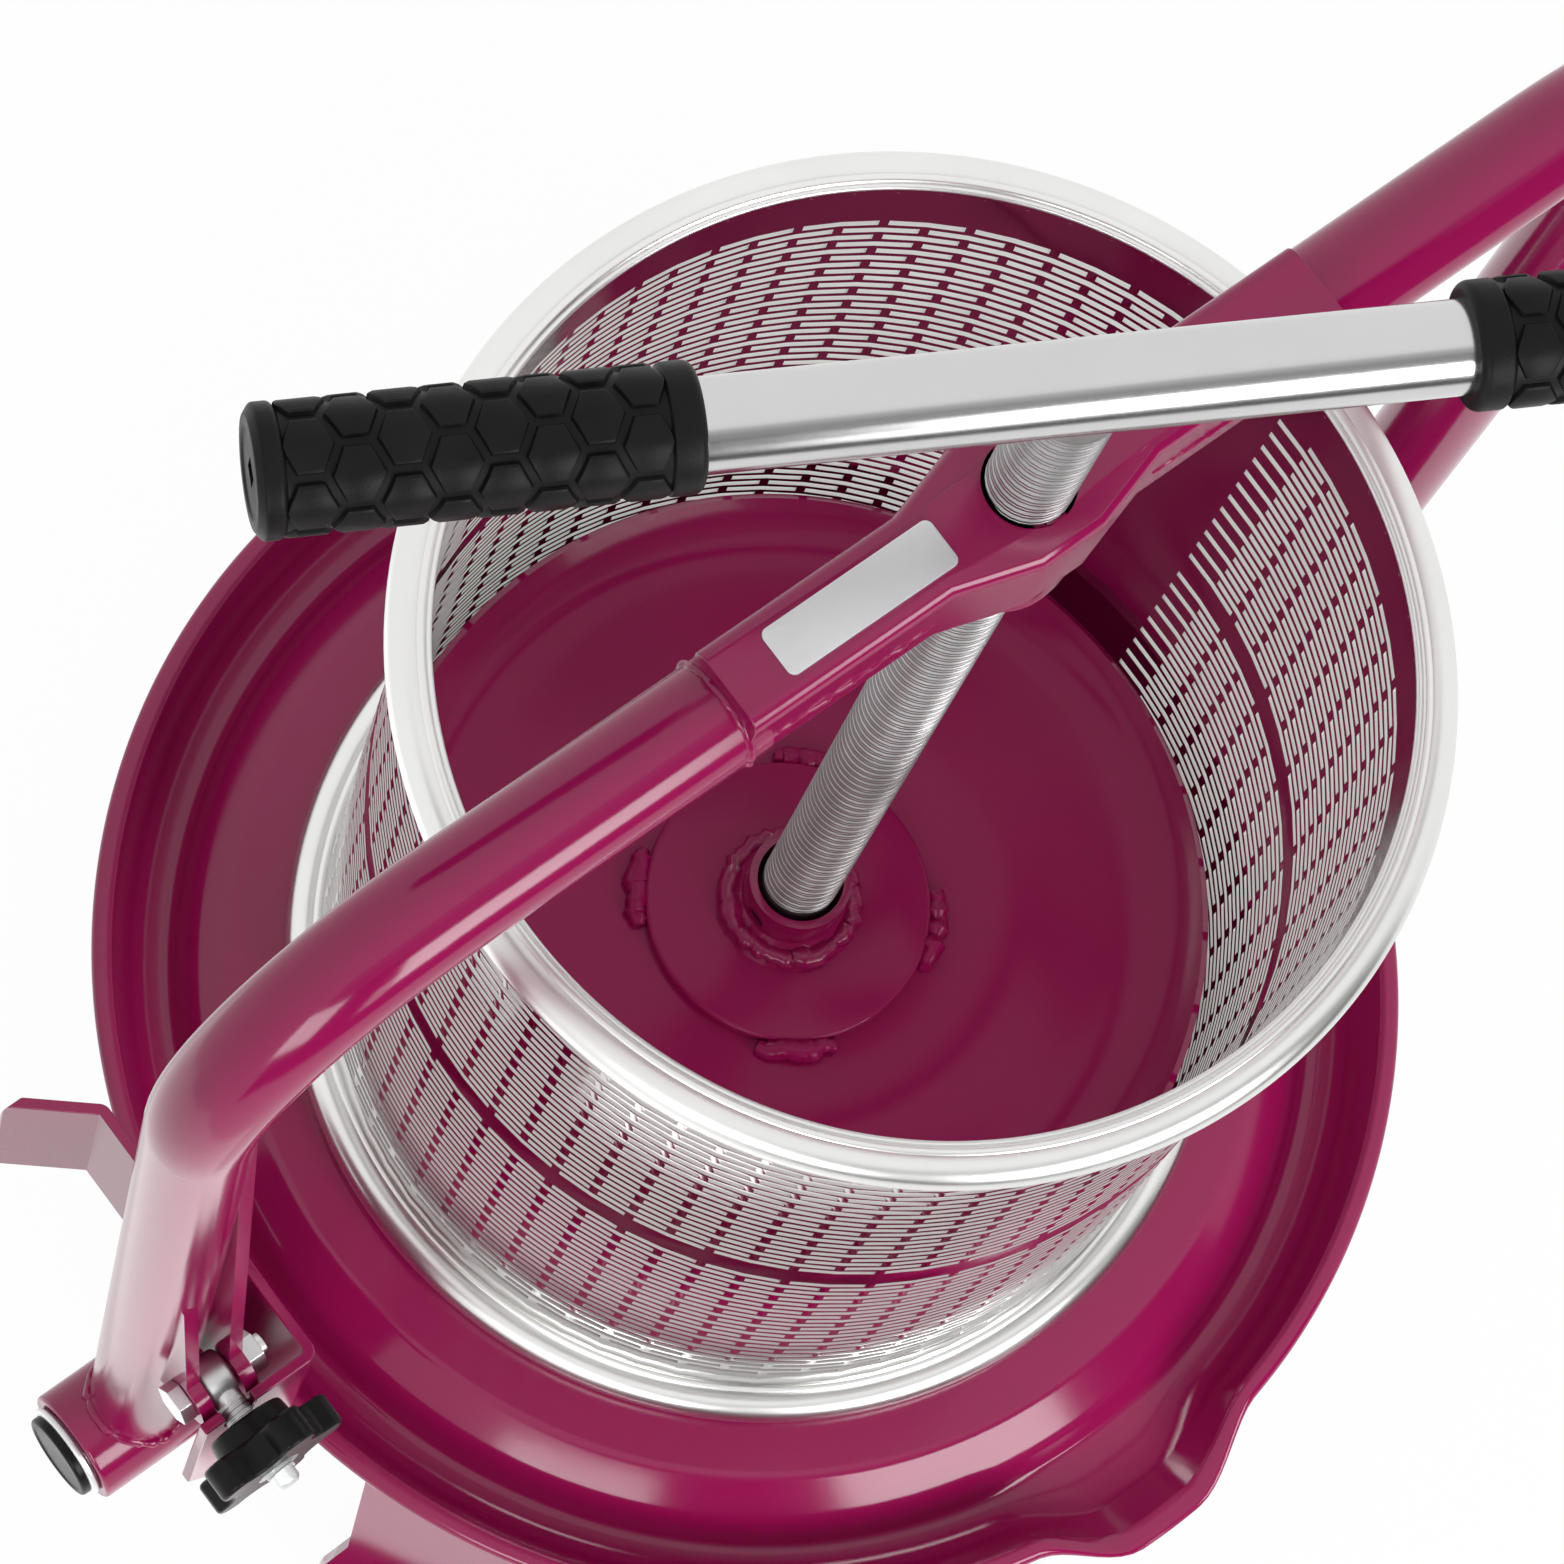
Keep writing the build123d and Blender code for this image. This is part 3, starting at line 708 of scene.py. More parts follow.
BAR_STEEL = Finish(
    name="bar_steel",
    first=(0.66, 0.66, 0.66),
    second=(0.62, 0.62, 0.62),
    patch_scale=18.0,
    roughness=(0.18, 0.23),
    metallic=1.0,
    relief_scale=1500.0,
)
ZINC_PLATE = Finish(
    name="zinc_plate",
    first=(0.82, 0.83, 0.83),
    second=(0.70, 0.71, 0.71),
    patch_scale=60.0,
    roughness=(0.36, 0.50),
    metallic=1.0,
    relief_scale=1200.0,
    relief_strength=0.10,
    relief_depth=0.0002,
)
SILVER_PLATE = Finish(
    name="silver_plate",
    first=(0.76, 0.76, 0.77),
    second=(0.70, 0.70, 0.71),
    patch_scale=40.0,
    roughness=(0.30, 0.40),
    metallic=1.0,
    relief_scale=2200.0,
    relief_stretch=(0.05, 1.0, 1.0),
    relief_strength=0.12,
)
GRIP_RUBBER = Finish(
    name="grip_rubber",
    first=(0.005, 0.005, 0.005),
    second=(0.009, 0.009, 0.009),
    patch_scale=70.0,
    roughness=(0.38, 0.52),
    specular=0.14,
    relief_scale=1600.0,
    relief_strength=0.25,
    relief_depth=0.0002,
)
KNOB_PLASTIC = Finish(
    name="knob_plastic",
    first=(0.004, 0.004, 0.004),
    second=(0.007, 0.007, 0.007),
    patch_scale=60.0,
    roughness=(0.26, 0.38),
    specular=0.16,
    relief_scale=2400.0,
    relief_strength=0.15,
)
SCREW_STEEL = Finish(
    name="screw_steel",
    first=(0.46, 0.46, 0.46),
    second=(0.34, 0.34, 0.34),
    patch_scale=120.0,
    roughness=(0.30, 0.44),
    metallic=1.0,
    relief_scale=1400.0,
    relief_strength=0.14,
    relief_depth=0.0002,
)
CUT_STEEL = Finish(
    name="cut_steel",
    first=(0.78, 0.77, 0.76),
    second=(0.72, 0.71, 0.70),
    patch_scale=30.0,
    roughness=(0.45, 0.55),
    metallic=1.0,
)
BLACK_OXIDE = Finish(
    name="black_oxide",
    first=(0.004, 0.004, 0.004),
    second=(0.006, 0.006, 0.006),
    patch_scale=90.0,
    roughness=(0.40, 0.50),
    specular=0.1,
)


@dataclass
class Paints:
    """The materials of the press, ready to use."""

    paint: bpy.types.Material
    # The wine paint with weaker reflection, which paints the plate's darker reflections (painted shade).
    dull_paint: bpy.types.Material
    rim: bpy.types.Material
    basket: bpy.types.Material
    bar: bpy.types.Material
    zinc: bpy.types.Material
    silver: bpy.types.Material
    rubber: bpy.types.Material
    plastic: bpy.types.Material
    screw: bpy.types.Material
    cut: bpy.types.Material
    black: bpy.types.Material

    @classmethod
    def mixed(cls) -> Paints:
        """Makes every material once.

        Returns:
            The set of materials.
        """
        effects = Effects()
        return cls(
            paint=WINE_PAINT.material(effects),
            dull_paint=PLATE_SHADED_PAINT.material(effects),
            rim=ROLLED_STEEL.material(effects),
            basket=BASKET_STEEL.material(effects),
            bar=BAR_STEEL.material(effects),
            zinc=ZINC_PLATE.material(effects),
            silver=SILVER_PLATE.material(effects),
            rubber=GRIP_RUBBER.material(effects),
            plastic=KNOB_PLASTIC.material(effects),
            screw=SCREW_STEEL.material(effects),
            cut=CUT_STEEL.material(effects),
            black=BLACK_OXIDE.material(effects),
        )


def merged_copy(node: bpy.types.Object) -> bmesh.types.BMesh:
    """Copies a CAD node's mesh and joins its loose triangles.

    Args:
        node: The CAD node.

    Returns:
        The copy's mesh in millimetres.
    """
    bm = bmesh.new()
    bm.from_mesh(node.data)
    bmesh.ops.scale(bm, vec=(1.0 / MILLIMETRE,) * 3, verts=bm.verts)
    bmesh.ops.remove_doubles(bm, verts=bm.verts, dist=MERGE_DISTANCE)
    return bm


def eased_copy(
    node: bpy.types.Object, radius: float, sharp: float = 32.0, core: float = 0.0
) -> bmesh.types.BMesh:
    """Copies a CAD node's mesh, joins its flats and rounds its sharp edges over.

    Args:
        node: The CAD node.
        radius: The radius of the rounded edges.
        sharp: Edges above this angle are rounded, in degrees.
        core: Edges within this distance of the Z axis stay as they are.

    Returns:
        The copy's mesh in millimetres.
    """
    flat = math.radians(2.0)
    limit = math.radians(sharp)
    bm = merged_copy(node)
    bmesh.ops.dissolve_limit(bm, angle_limit=flat, verts=bm.verts, edges=bm.edges)
    rounds = [edge for edge in bm.edges if edge.is_manifold and edge.calc_face_angle() > limit]
    if core:
        rounds = [edge for edge in rounds if max(vert.co.xy.length for vert in edge.verts) > core]
    ease(bm, rounds, radius)
    return bm


def set_bore(bm: bmesh.types.BMesh, radius: float, within: float, low: float) -> None:
    """Gives a bore on the Z axis a new radius above a height, so that a gap shows round the screw.

    Args:
        bm: The mesh with the bore.
        radius: The bore's new radius.
        within: Points nearer to the axis than this are moved.
        low: The height where the new radius starts.
    """
    for vert in bm.verts:
        reach = math.hypot(vert.co.x, vert.co.y)
        if 0.0 < reach < within and vert.co.z > low:
            vert.co.x *= radius / reach
            vert.co.y *= radius / reach


@dataclass
class JuiceTray:
    """The painted dish: raised seat, gutter, leaning wall, rolled lip and pressed spout."""

    paints: Paints
    seat_radius: float = 141.0
    break_radius: float = 151.5
    break_drop: float = 6.5
    gutter_inner: float = 157.0
    gutter_outer: float = 166.0
    gutter_height: float = 115.0
    gutter_depth: float = 14.0
    wall_radius: float = 174.0
    sheet: float = 1.5
    lip_radius: float = 2.4
    lip_inside_share: float = 0.9
    lip_return: float = 0.4
    lip_return_corner: float = 0.6
    shoulder_radius: float = 6.0
    break_corner: float = 12.0
    inner_corner: float = 4.6
    corner_radius: float = 9.0
    under_shift: float = 0.6
    under_wall_shift: float = 0.8
    under_inner_corner: float = 5.1
    spout_start: float = 12.0
    spout_half_width: float = 38.0
    spout_flat: float = 9.0
    spout_reach: float = 10.5
    spout_keep: float = 0.42
    steps: int = 360
    corner_steps: int = 7

    def build(self) -> None:
        """Makes the dish and presses its spout."""
        rim = node_high("juice_tray").z
        radius = node_high("juice_tray").x
        bm = bmesh.new()
        lathe(bm, rounded(self._section(rim, radius), self.corner_steps), self.steps)
        self._press_spout(bm, radius)
        add_piece("tray_dish", bm, self.paints.paint, Body.STAND, ["juice_tray"])

    def _section(self, rim: float, radius: float) -> list[Corner]:
        """The dish's section: out over the seat, gutter and lip, and back along the underside.

        Args:
            rim: Height of the lip.
            radius: Radius of the lip.

        Returns:
            The corners of the section.
        """
        seat = self.gutter_height + self.gutter_depth
        fold = seat - self.break_drop
        low = self.gutter_height - self.sheet
        lip_low = rim - 2 * self.lip_radius
        return [
            (0.0, seat, 0.0),
            (self.seat_radius, seat, self.shoulder_radius),
            (self.break_radius, fold, self.break_corner),
            (self.gutter_inner, self.gutter_height, self.inner_corner),
            (self.gutter_outer, self.gutter_height, self.corner_radius),
            (self.wall_radius, rim, self.lip_radius * self.lip_inside_share),
            (radius, rim, self.lip_radius),
            (radius, lip_low, self.lip_radius),
            (self.wall_radius + self.lip_return, lip_low, self.lip_return_corner),
            (self.gutter_outer + self.under_wall_shift, low, self.corner_radius + self.sheet),
            (self.gutter_inner - self.under_shift, low, self.under_inner_corner),
            (self.break_radius - self.under_shift, fold - self.sheet, self.break_corner),
            (self.seat_radius - self.under_shift, seat - self.sheet, self.shoulder_radius - self.sheet),
            (0.0, seat - self.sheet, 0.0),
        ]

    def _press_spout(self, bm: bmesh.types.BMesh, radius: float) -> None:
        """Draws the wall out and down into a pouring lip at the front.

        Args:
            bm: The dish.
            radius: Radius of the lip.
        """
        start = self.gutter_outer - self.spout_start
        for vert in bm.verts:
            reach = math.hypot(vert.co.x, vert.co.y)
            if vert.co.y > 0.0 or reach < start:
                continue
            share = 1.0 - smooth_share(abs(vert.co.x), self.spout_flat, self.spout_half_width)
            if share <= 0.0:
                continue
            outward = smooth_share(reach, start, radius)
            grow = 1.0 + share * outward * self.spout_reach / reach
            height = vert.co.z - self.gutter_height
            drop = max(height, 0.0) * (1.0 - self.spout_keep) * share
            vert.co = Vector((vert.co.x * grow, vert.co.y * grow, vert.co.z - drop))


@dataclass
class Basket:
    """The slotted steel basket with its two rolled rims."""

    paints: Paints
    wall_radius: float = 117.9
    sheet: float = 1.2
    edge_share: float = 0.3
    bead_radius: float = 5.1
    lip_radius: float = 0.9
    lip_place: tuple[float, float] = (0.2, 3.4)
    neck_radius: float = 1.5
    neck_place: tuple[float, float] = (0.9, 3.7)
    columns: int = 33
    rows: int = 24
    row_pitch: float = 4.57
    row_slack: float = 0.5
    slot_height: float = 2.8
    end_gap: float = 2.5
    seam_strip: float = 25.0
    seam_cells: int = 2
    seam_angle: float = 8.0
    middle_row_gap: float = 14.5
    top_row_drop: float = 24.6
    cut_facing: float = 0.5
    rim_steps: int = 200
    section_steps: int = 40

    def build(self) -> None:
        """Makes the wall and both rims."""
        self._wall()
        for name in ("basket_top_rim", "basket_bottom_rim"):
            self._rim(name)

    def _wall(self) -> None:
        """Cuts the slots in a flat sheet, rolls it into a cylinder and gives the cut edges their finish."""
        stretch = self._stretch()
        bm = bmesh.new()
        self._cut_slots(bm, stretch)
        self._roll(bm, stretch)
        bmesh.ops.remove_doubles(bm, verts=bm.verts, dist=MERGE_DISTANCE)
        bmesh.ops.recalc_face_normals(bm, faces=bm.faces)
        bmesh.ops.solidify(bm, geom=bm.faces, thickness=self.sheet)
        bm.normal_update()
        for face in bm.faces:
            outward = face.calc_center_median().xy.normalized()
            if abs(face.normal.xy.dot(outward)) < self.cut_facing:
                face.material_index = 1
        piece = add_piece("basket_sheet", bm, self.paints.basket, Body.STAND, ["basket_wall"])
        piece.data.materials.append(self.paints.cut)

    def _stretch(self) -> float:
        """How much heights are drawn out while slots are cut, so that one inset suits both ways."""
        return self.end_gap / (self.row_pitch - self.slot_height)

    def _cut_slots(self, bm: bmesh.types.BMesh, stretch: float) -> None:
        """Makes the flat sheet with its rows of staggered slots.

        Args:
            bm: The mesh that takes the sheet.
            stretch: How much heights are drawn out.
        """
        levels = self._levels()
        half_cells = 2 * self.columns + 1
        cell = (math.tau * self.wall_radius - self.seam_strip) / half_cells
        stations = [self.seam_strip * index / self.seam_cells for index in range(self.seam_cells + 1)]
        stations += [self.seam_strip + cell * (index + 1) for index in range(half_cells)]
        wide, tall = len(stations) - 1, len(levels) - 1
        bmesh.ops.create_grid(bm, x_segments=wide, y_segments=tall, size=1.0)
        places: dict[bmesh.types.BMVert, tuple[int, int]] = {}
        for vert in bm.verts:
            places[vert] = (round((vert.co.x + 1) * wide / 2), round((vert.co.y + 1) * tall / 2))
        staggered = self._slot_levels()
        joints = []
        for edge in bm.edges:
            first, second = (places[vert] for vert in edge.verts)
            level = min(first[1], second[1])
            upright = first[0] == second[0]
            column = first[0] - self.seam_cells
            if upright and level in staggered and 0 < column < half_cells:
                if column % 2 == int(staggered[level]):
                    joints.append(edge)
        for vert, (column, level) in places.items():
            vert.co = Vector((stations[column], levels[level] * stretch, 0.0))
        bmesh.ops.dissolve_edges(bm, edges=joints, use_verts=False)
        bricks = [face for face in bm.faces if self._is_brick(face, cell, stretch)]
        bmesh.ops.inset_individual(bm, faces=bricks, thickness=self.end_gap / 2, use_even_offset=True)
        bmesh.ops.delete(bm, geom=bricks, context="FACES_ONLY")

    def _levels(self) -> list[float]:
        """The heights of the grid's rows.

        Returns:
            The heights, from the sheet's bottom edge to its top edge.
        """
        reach = self.bead_radius * self.edge_share
        low = node_low("basket_bottom_rim").z + reach
        high = node_high("basket_top_rim").z - reach
        top = node_high("basket_top_rim").z - self.top_row_drop + self.row_pitch / 2
        band = self.rows * self.row_pitch
        gap = self.middle_row_gap - self.row_pitch
        upper = [top - band + self.row_pitch * index for index in range(self.rows + 1)]
        lower = [height - band - gap for height in upper]
        return [low, *lower, *upper, high]

    def _slot_levels(self) -> dict[int, bool]:
        """The grid rows that hold slots.

        Returns:
            Each such row's number, and whether its slots are shifted by half a slot.
        """
        lower = {1 + row: row % 2 == 0 for row in range(self.rows)}
        upper = {2 + self.rows + row: row % 2 == 1 for row in range(self.rows)}
        return lower | upper

    def _is_brick(self, face: bmesh.types.BMFace, cell: float, stretch: float) -> bool:
        """Whether a flat face is one that a slot is cut from.

        Args:
            face: The face.
            cell: Half the distance from one slot to the next.
            stretch: How much heights are drawn out.

        Returns:
            True if it is as long as two cells and as tall as a row.
        """
        across = [vert.co.x for vert in face.verts]
        up = [vert.co.y for vert in face.verts]
        is_long = abs(max(across) - min(across) - 2 * cell) < cell / 4
        is_row = abs(max(up) - min(up) - self.row_pitch * stretch) < self.row_slack
        return is_long and is_row

    def _roll(self, bm: bmesh.types.BMesh, stretch: float) -> None:
        """Rolls the flat sheet round the Z axis with its seam strip at its angle.

        Args:
            bm: The sheet.
            stretch: How much its heights are drawn out.
        """
        start = math.radians(self.seam_angle) - self.seam_strip / 2 / self.wall_radius
        outer = self.wall_radius + self.sheet / 2
        for vert in bm.verts:
            angle = start + vert.co.x / self.wall_radius
            vert.co = Vector((outer * math.cos(angle), outer * math.sin(angle), vert.co.y / stretch))

    def _ring_section(self, centre: float, height: float, radius: float) -> list[Vector]:
        """A round section for a ring.

        Args:
            centre: Radius of the ring at the section's middle.
            height: Height of the section's middle.
            radius: Radius of the section.

        Returns:
            The points of the section.
        """
        outline = []
        for step in range(self.section_steps):
            angle = math.tau * step / self.section_steps
            arm = Vector((math.cos(angle), math.sin(angle))) * radius
            outline.append(Vector((centre, height)) + arm)
        return outline

    def _rim(self, node: str) -> None:
        """Spins one rolled bead with the wall's folded lip inside it and its neck outside.

        Args:
            node: The rim's CAD node.
        """
        high = node_high(node)
        middle = (high.z + node_low(node).z) / 2
        inner = self.wall_radius - self.sheet / 2
        outer = self.wall_radius + self.sheet / 2
        lip_out, lip_up = self.lip_place
        neck_out, neck_up = self.neck_place
        bm = bmesh.new()
        for centre, height, radius in (
            (high.x - self.bead_radius, middle, self.bead_radius),
            (inner + lip_out, middle + lip_up, self.lip_radius),
            (outer + neck_out, middle + neck_up, self.neck_radius),
        ):
            lathe(bm, self._ring_section(centre, height, radius), self.rim_steps, closed=True)
        add_piece(f"{node}_bead", bm, self.paints.rim, Body.STAND, [node])


@dataclass
class Yoke:
    """The bent tube frame over the basket, with its bridge, sleeves, welds and bare plate."""

    paints: Paints
    nodes: dict[str, bpy.types.Object]
    tube_radius: float = 12.74
    foot: tuple[float, float] = (205.3, 121.0)
    top: tuple[float, float] = (215.3, 505.0)
    bend_radius: float = 60.0
    bridge_half: float = 83.0
    bridge_ease: float = 0.8
    bridge_sharp: float = 38.0
    foot_start: float = 10.0
    tube_overlap: float = 6.0
    sleeve_ease: float = 1.0
    ring_faces: int = 72
    bend_steps: int = 20
    weld_radius: float = 1.6
    weld_seed: float = 3.0
    ring_weld_share: float = 0.8
    ring_inset: float = 0.4
    saddle_shift: float = 0.4
    saddle_seed_step: float = 5.0
    seam_radius: float = 0.9
    seam_half: float = 10.7
    seam_height: float = 505.0
    seam_span: tuple[float, float] = (31.0, 80.0)
    seam_seed: float = 11.0
    bore_depth: float = 1.0
    nut_gap: float = 10.8
    nut_sink: float = 1.2
    nut_margin: float = 0.3
    plate_middle: tuple[float, float] = (-47.0, 0.0)
    plate_length: float = 46.5
    plate_width: float = 12.4
    plate_corner: float = 2.0
    plate_thickness: float = 0.8
    plate_ease: float = 0.3

    def build(self) -> None:
        """Makes both legs, both sleeves, the bridge with its nut, and the plate on it."""
        for side in Side:
            self._tube(side)
            self._sleeve(side)
        self._bridge()
        self._nut()
        self._plate()

    def _nut(self) -> None:
        """Sinks the welded nut under the bridge's top and leaves a narrow gap round the screw."""
        bm = merged_copy(self.nodes["spindle_nut"])
        top = node_high("spindle_nut").z - self.bore_depth
        set_bore(bm, self.nut_gap, self.nut_gap, top)
        sunk = [vert for vert in bm.verts if vert.co.z > top]
        bmesh.ops.translate(bm, vec=(0.0, 0.0, -self.nut_sink), verts=sunk)
        add_piece("bridge_nut", bm, self.paints.paint, Body.STAND, ["spindle_nut"])

    def _tube(self, side: Side) -> None:
        """Bends one leg from tube and lays the welds at its two ends.

        Args:
            side: Which leg.
        """
        foot = Vector((self.foot[0], 0.0, self.foot[1]))
        top = Vector((self.top[0], 0.0, self.top[1]))
        rise = (top - foot).normalized()
        inward = -ALONG_X
        turn = rise.angle(inward)
        run_off = self.bend_radius * math.tan(turn / 2)
        bend_start = top - rise * run_off
        bend_end = top + inward * run_off
        centre = Vector((bend_end.x, 0.0, bend_end.z - self.bend_radius))
        start = foot + rise * self.foot_start
        bm = bmesh.new()
        facing = rise.to_track_quat("Z", "Y").to_matrix().to_4x4()
        bmesh.ops.create_circle(
            bm,
            cap_ends=False,
            radius=self.tube_radius,
            segments=self.ring_faces,
            matrix=Matrix.Translation(start) @ facing,
        )
        edges = run_ring(bm, list(bm.edges), bend_start - start)
        edges = bend_ring(bm, edges, centre, TOWARDS_SPOUT, turn, self.bend_steps)
        run_ring(bm, edges, ALONG_X * (self.bridge_half - self.tube_overlap - bend_end.x))
        bmesh.ops.remove_doubles(bm, verts=bm.verts, dist=MERGE_DISTANCE)
        bmesh.ops.holes_fill(bm, edges=bm.edges, sides=0)
        bmesh.ops.recalc_face_normals(bm, faces=bm.faces)
        length = math.tau * self.tube_radius
        seed = self.weld_seed + side.value
        weld_bead(bm, self._bridge_ring, length, self.weld_radius * self.ring_weld_share, seed, True)
        seed += self.saddle_seed_step
        weld_bead(bm, self._sleeve_saddle, length, self.weld_radius, seed, True)
        mirror_across(bm, side)
        node = side.node("yoke_tube")
        add_piece(f"{node}_bent", bm, self.paints.paint, Body.STAND, [node])

    def _bridge_ring(self, share: float) -> Vector:
        """The weld line where a tube enters the bridge.

        Args:
            share: The share of the way round.

        Returns:
            The point on the line.
        """
        angle = math.tau * share
        radius = self.tube_radius - self.ring_inset
        return Vector((self.bridge_half, radius * math.cos(angle), self.top[1] + radius * math.sin(angle)))

    def _sleeve_saddle(self, share: float) -> Vector:
        """The weld line where a tube stands on its sleeve.

        Args:
            share: The share of the way round.

        Returns:
            The point on the line.
        """
        angle = math.tau * share
        across = self.tube_radius * math.sin(angle)
        sleeve = node_high("yoke_sleeve_right").y
        along = self.foot[0] + self.saddle_shift + self.tube_radius * math.cos(angle)
        return Vector((along, across, self.foot[1] + math.sqrt(sleeve**2 - across**2)))

    def _sleeve(self, side: Side) -> None:
        """Rounds the ends of one pivot sleeve.

        Args:
            side: Which sleeve.
        """
        node = side.node("yoke_sleeve")
        bm = eased_copy(self.nodes[node], self.sleeve_ease)
        add_piece(f"{node}_turned", bm, self.paints.paint, Body.STAND, [node])

    def _bridge(self) -> None:
        """Softens the edges of the welded bridge and lays a thin seam along each side."""
        nut = node_high("spindle_nut").x + self.nut_margin
        bm = eased_copy(self.nodes["yoke_bridge"], self.bridge_ease, self.bridge_sharp, nut)
        set_bore(bm, self.nut_gap, nut, node_high("yoke_bridge").z - self.bore_depth)
        near, far = self.seam_span
        seed = self.seam_seed
        for across in (-self.seam_half, self.seam_half):
            for side in Side:
                weld_bead(bm, self._seam(across, side), far - near, self.seam_radius, seed)
                seed += 1.0
        paint = self.paints.paint
        add_piece("yoke_bridge_box", bm, paint, Body.STAND, ["yoke_bridge"], weighted=True)

    def _seam(self, across: float, side: Side) -> Callable[[float], Vector]:
        """A straight seam on one flat side of the bridge.

        Args:
            across: Where that flat is along Y.
            side: Which half of the bridge.

        Returns:
            The path that gives the point at a share of the way along the seam.
        """
        near, far = self.seam_span

        def point(share: float) -> Vector:
            """The point at a share of the way."""
            return Vector((side.value * (near + (far - near) * share), across, self.seam_height))

        return point

    def _plate(self) -> None:
        """Sets the bare silver plate on the bridge."""
        half_length, half_width = self.plate_length / 2, self.plate_width / 2
        corners = [
            (half_length, half_width, self.plate_corner),
            (-half_length, half_width, self.plate_corner),
            (-half_length, -half_width, self.plate_corner),
            (half_length, -half_width, self.plate_corner),
        ]
        bm = bmesh.new()
        edges = slab(bm, rounded(corners, closed=True), self.plate_thickness)
        ease(bm, edges, self.plate_ease, segments=2)
        top = node_high("yoke_bridge").z
        bmesh.ops.translate(bm, vec=(*self.plate_middle, top), verts=bm.verts)
        add_piece("bare_plate", bm, self.paints.silver, Body.STAND, weighted=True)


@dataclass
class ScrewDrive:
    """The threaded spindle and its T-handle with two rubber grips."""

    paints: Paints
    thread_start: float = 16.0
    thread_pitch: float = 4.0
    thread_depth: float = 0.95
    thread_crease: float = 50.0
    plain_relief: float = 0.1
    plain_overlap: float = 2.0
    plain_faces: int = 40
    handle_turn: float = -28.0
    handle_radius: float = 10.25
    handle_wall: float = 2.0
    handle_inset: float = 3.2
    handle_ease: float = 0.5
    handle_faces: int = 72
    grip_inner: float = 82.5
    grip_outer: float = 175.5
    grip_floor: float = 12.9
    grip_faces: int = 64
    mouth_gap: float = 0.02
    inner_flange_radius: float = 14.0
    outer_flange_radius: float = 14.3
    inner_flange: float = 7.0
    outer_flange: float = 5.5
    flange_slope: float = 0.6
    end_taper: tuple[float, float] = (2.2, 1.6)
    end_ring: float = 4.2
    end_dish: tuple[float, float] = (5.0, 0.5)
    vent_half: float = 2.6
    vent_depth: float = 3.0
    pad_columns: int = 8
    pads_round: int = 6
    cuts_a_pad: int = 8
    pad_margin: float = 0.4
    pad_groove: float = 1.7
    pad_rise: float = 1.3
    pad_sink: float = 0.1
    pad_edge: float = 0.45
    pad_edge_share: float = 0.8
    pad_crown: float = 0.55

    def build(self) -> None:
        """Makes the spindle, the bar and both grips."""
        self._spindle()
        self._bar()
        for side in Side:
            self._grip(side)

    def _bar_direction(self) -> Vector:
        """The T-bar's line at rest."""
        angle = math.radians(self.handle_turn)
        return Vector((math.cos(angle), math.sin(angle), 0.0))

    def _bar_height(self) -> float:
        """Height of the T-bar's middle."""
        return (node_low("handle_bar").z + node_high("handle_bar").z) / 2

    def _spindle(self) -> None:
        """Cuts the thread between a plain end in the hub and a plain head under the bar."""
        radius = node_high("spindle").x
        low = node_low("spindle").z
        head = self._bar_height()
        thread_low = low + self.thread_start
        turns = int((head - self.handle_radius - thread_low) / self.thread_pitch)
        thread_high = thread_low + (turns + 0.5) * self.thread_pitch
        bm = bmesh.new()
        thread(bm, radius - self.thread_depth, radius, self.thread_pitch, thread_low, turns)
        bmesh.ops.holes_fill(bm, edges=bm.edges, sides=0)
        plain = radius - self.plain_relief
        lap = self.plain_overlap
        for start, end in ((low, thread_low + lap), (thread_high - lap, head)):
            shaft = [(0.0, start), (plain, start), (plain, end), (0.0, end)]
            lathe(bm, [Vector(point) for point in shaft], self.plain_faces)
        steel = self.paints.screw
        add_piece("spindle_thread", bm, steel, Body.SCREW, ["spindle"], self.thread_crease)

    def _bar(self) -> None:
        """Makes the T-bar's tube."""
        reach = self.grip_outer - self.handle_inset
        inner = self.handle_radius - self.handle_wall
        corners = [
            (inner, -reach, 0.0),
            (self.handle_radius, -reach, self.handle_ease),
            (self.handle_radius, reach, self.handle_ease),
            (inner, reach, 0.0),
        ]
        bm = bmesh.new()
        lathe(bm, rounded(corners, 3, closed=True), self.handle_faces, closed=True)
        turn_onto(bm, self._bar_direction(), UP * self._bar_height())
        add_piece("handle_tube", bm, self.paints.bar, Body.SCREW, ["handle_bar"])

    def _grip(self, side: Side) -> None:
        """Moulds one grip: a sleeve with a flange at each end, raised hexagon pads and a square vent.

        Args:
            side: Which grip.
        """
        bm = bmesh.new()
        self._pads(bm)
        before = set(bm.verts)
        lathe(bm, rounded(self._grip_section(), 5), self.grip_faces)
        for vert in set(bm.verts) - before:
            reach = math.hypot(vert.co.x, vert.co.y)
            if abs(reach - self.vent_half) < 0.01:
                square = self.vent_half / max(abs(vert.co.x), abs(vert.co.y))
                vert.co.x *= square
                vert.co.y *= square
        turn_onto(bm, self._bar_direction() * side.value, UP * self._bar_height())
        node = side.node("grip")
        add_piece(f"{node}_rubber", bm, self.paints.rubber, Body.SCREW, [node])

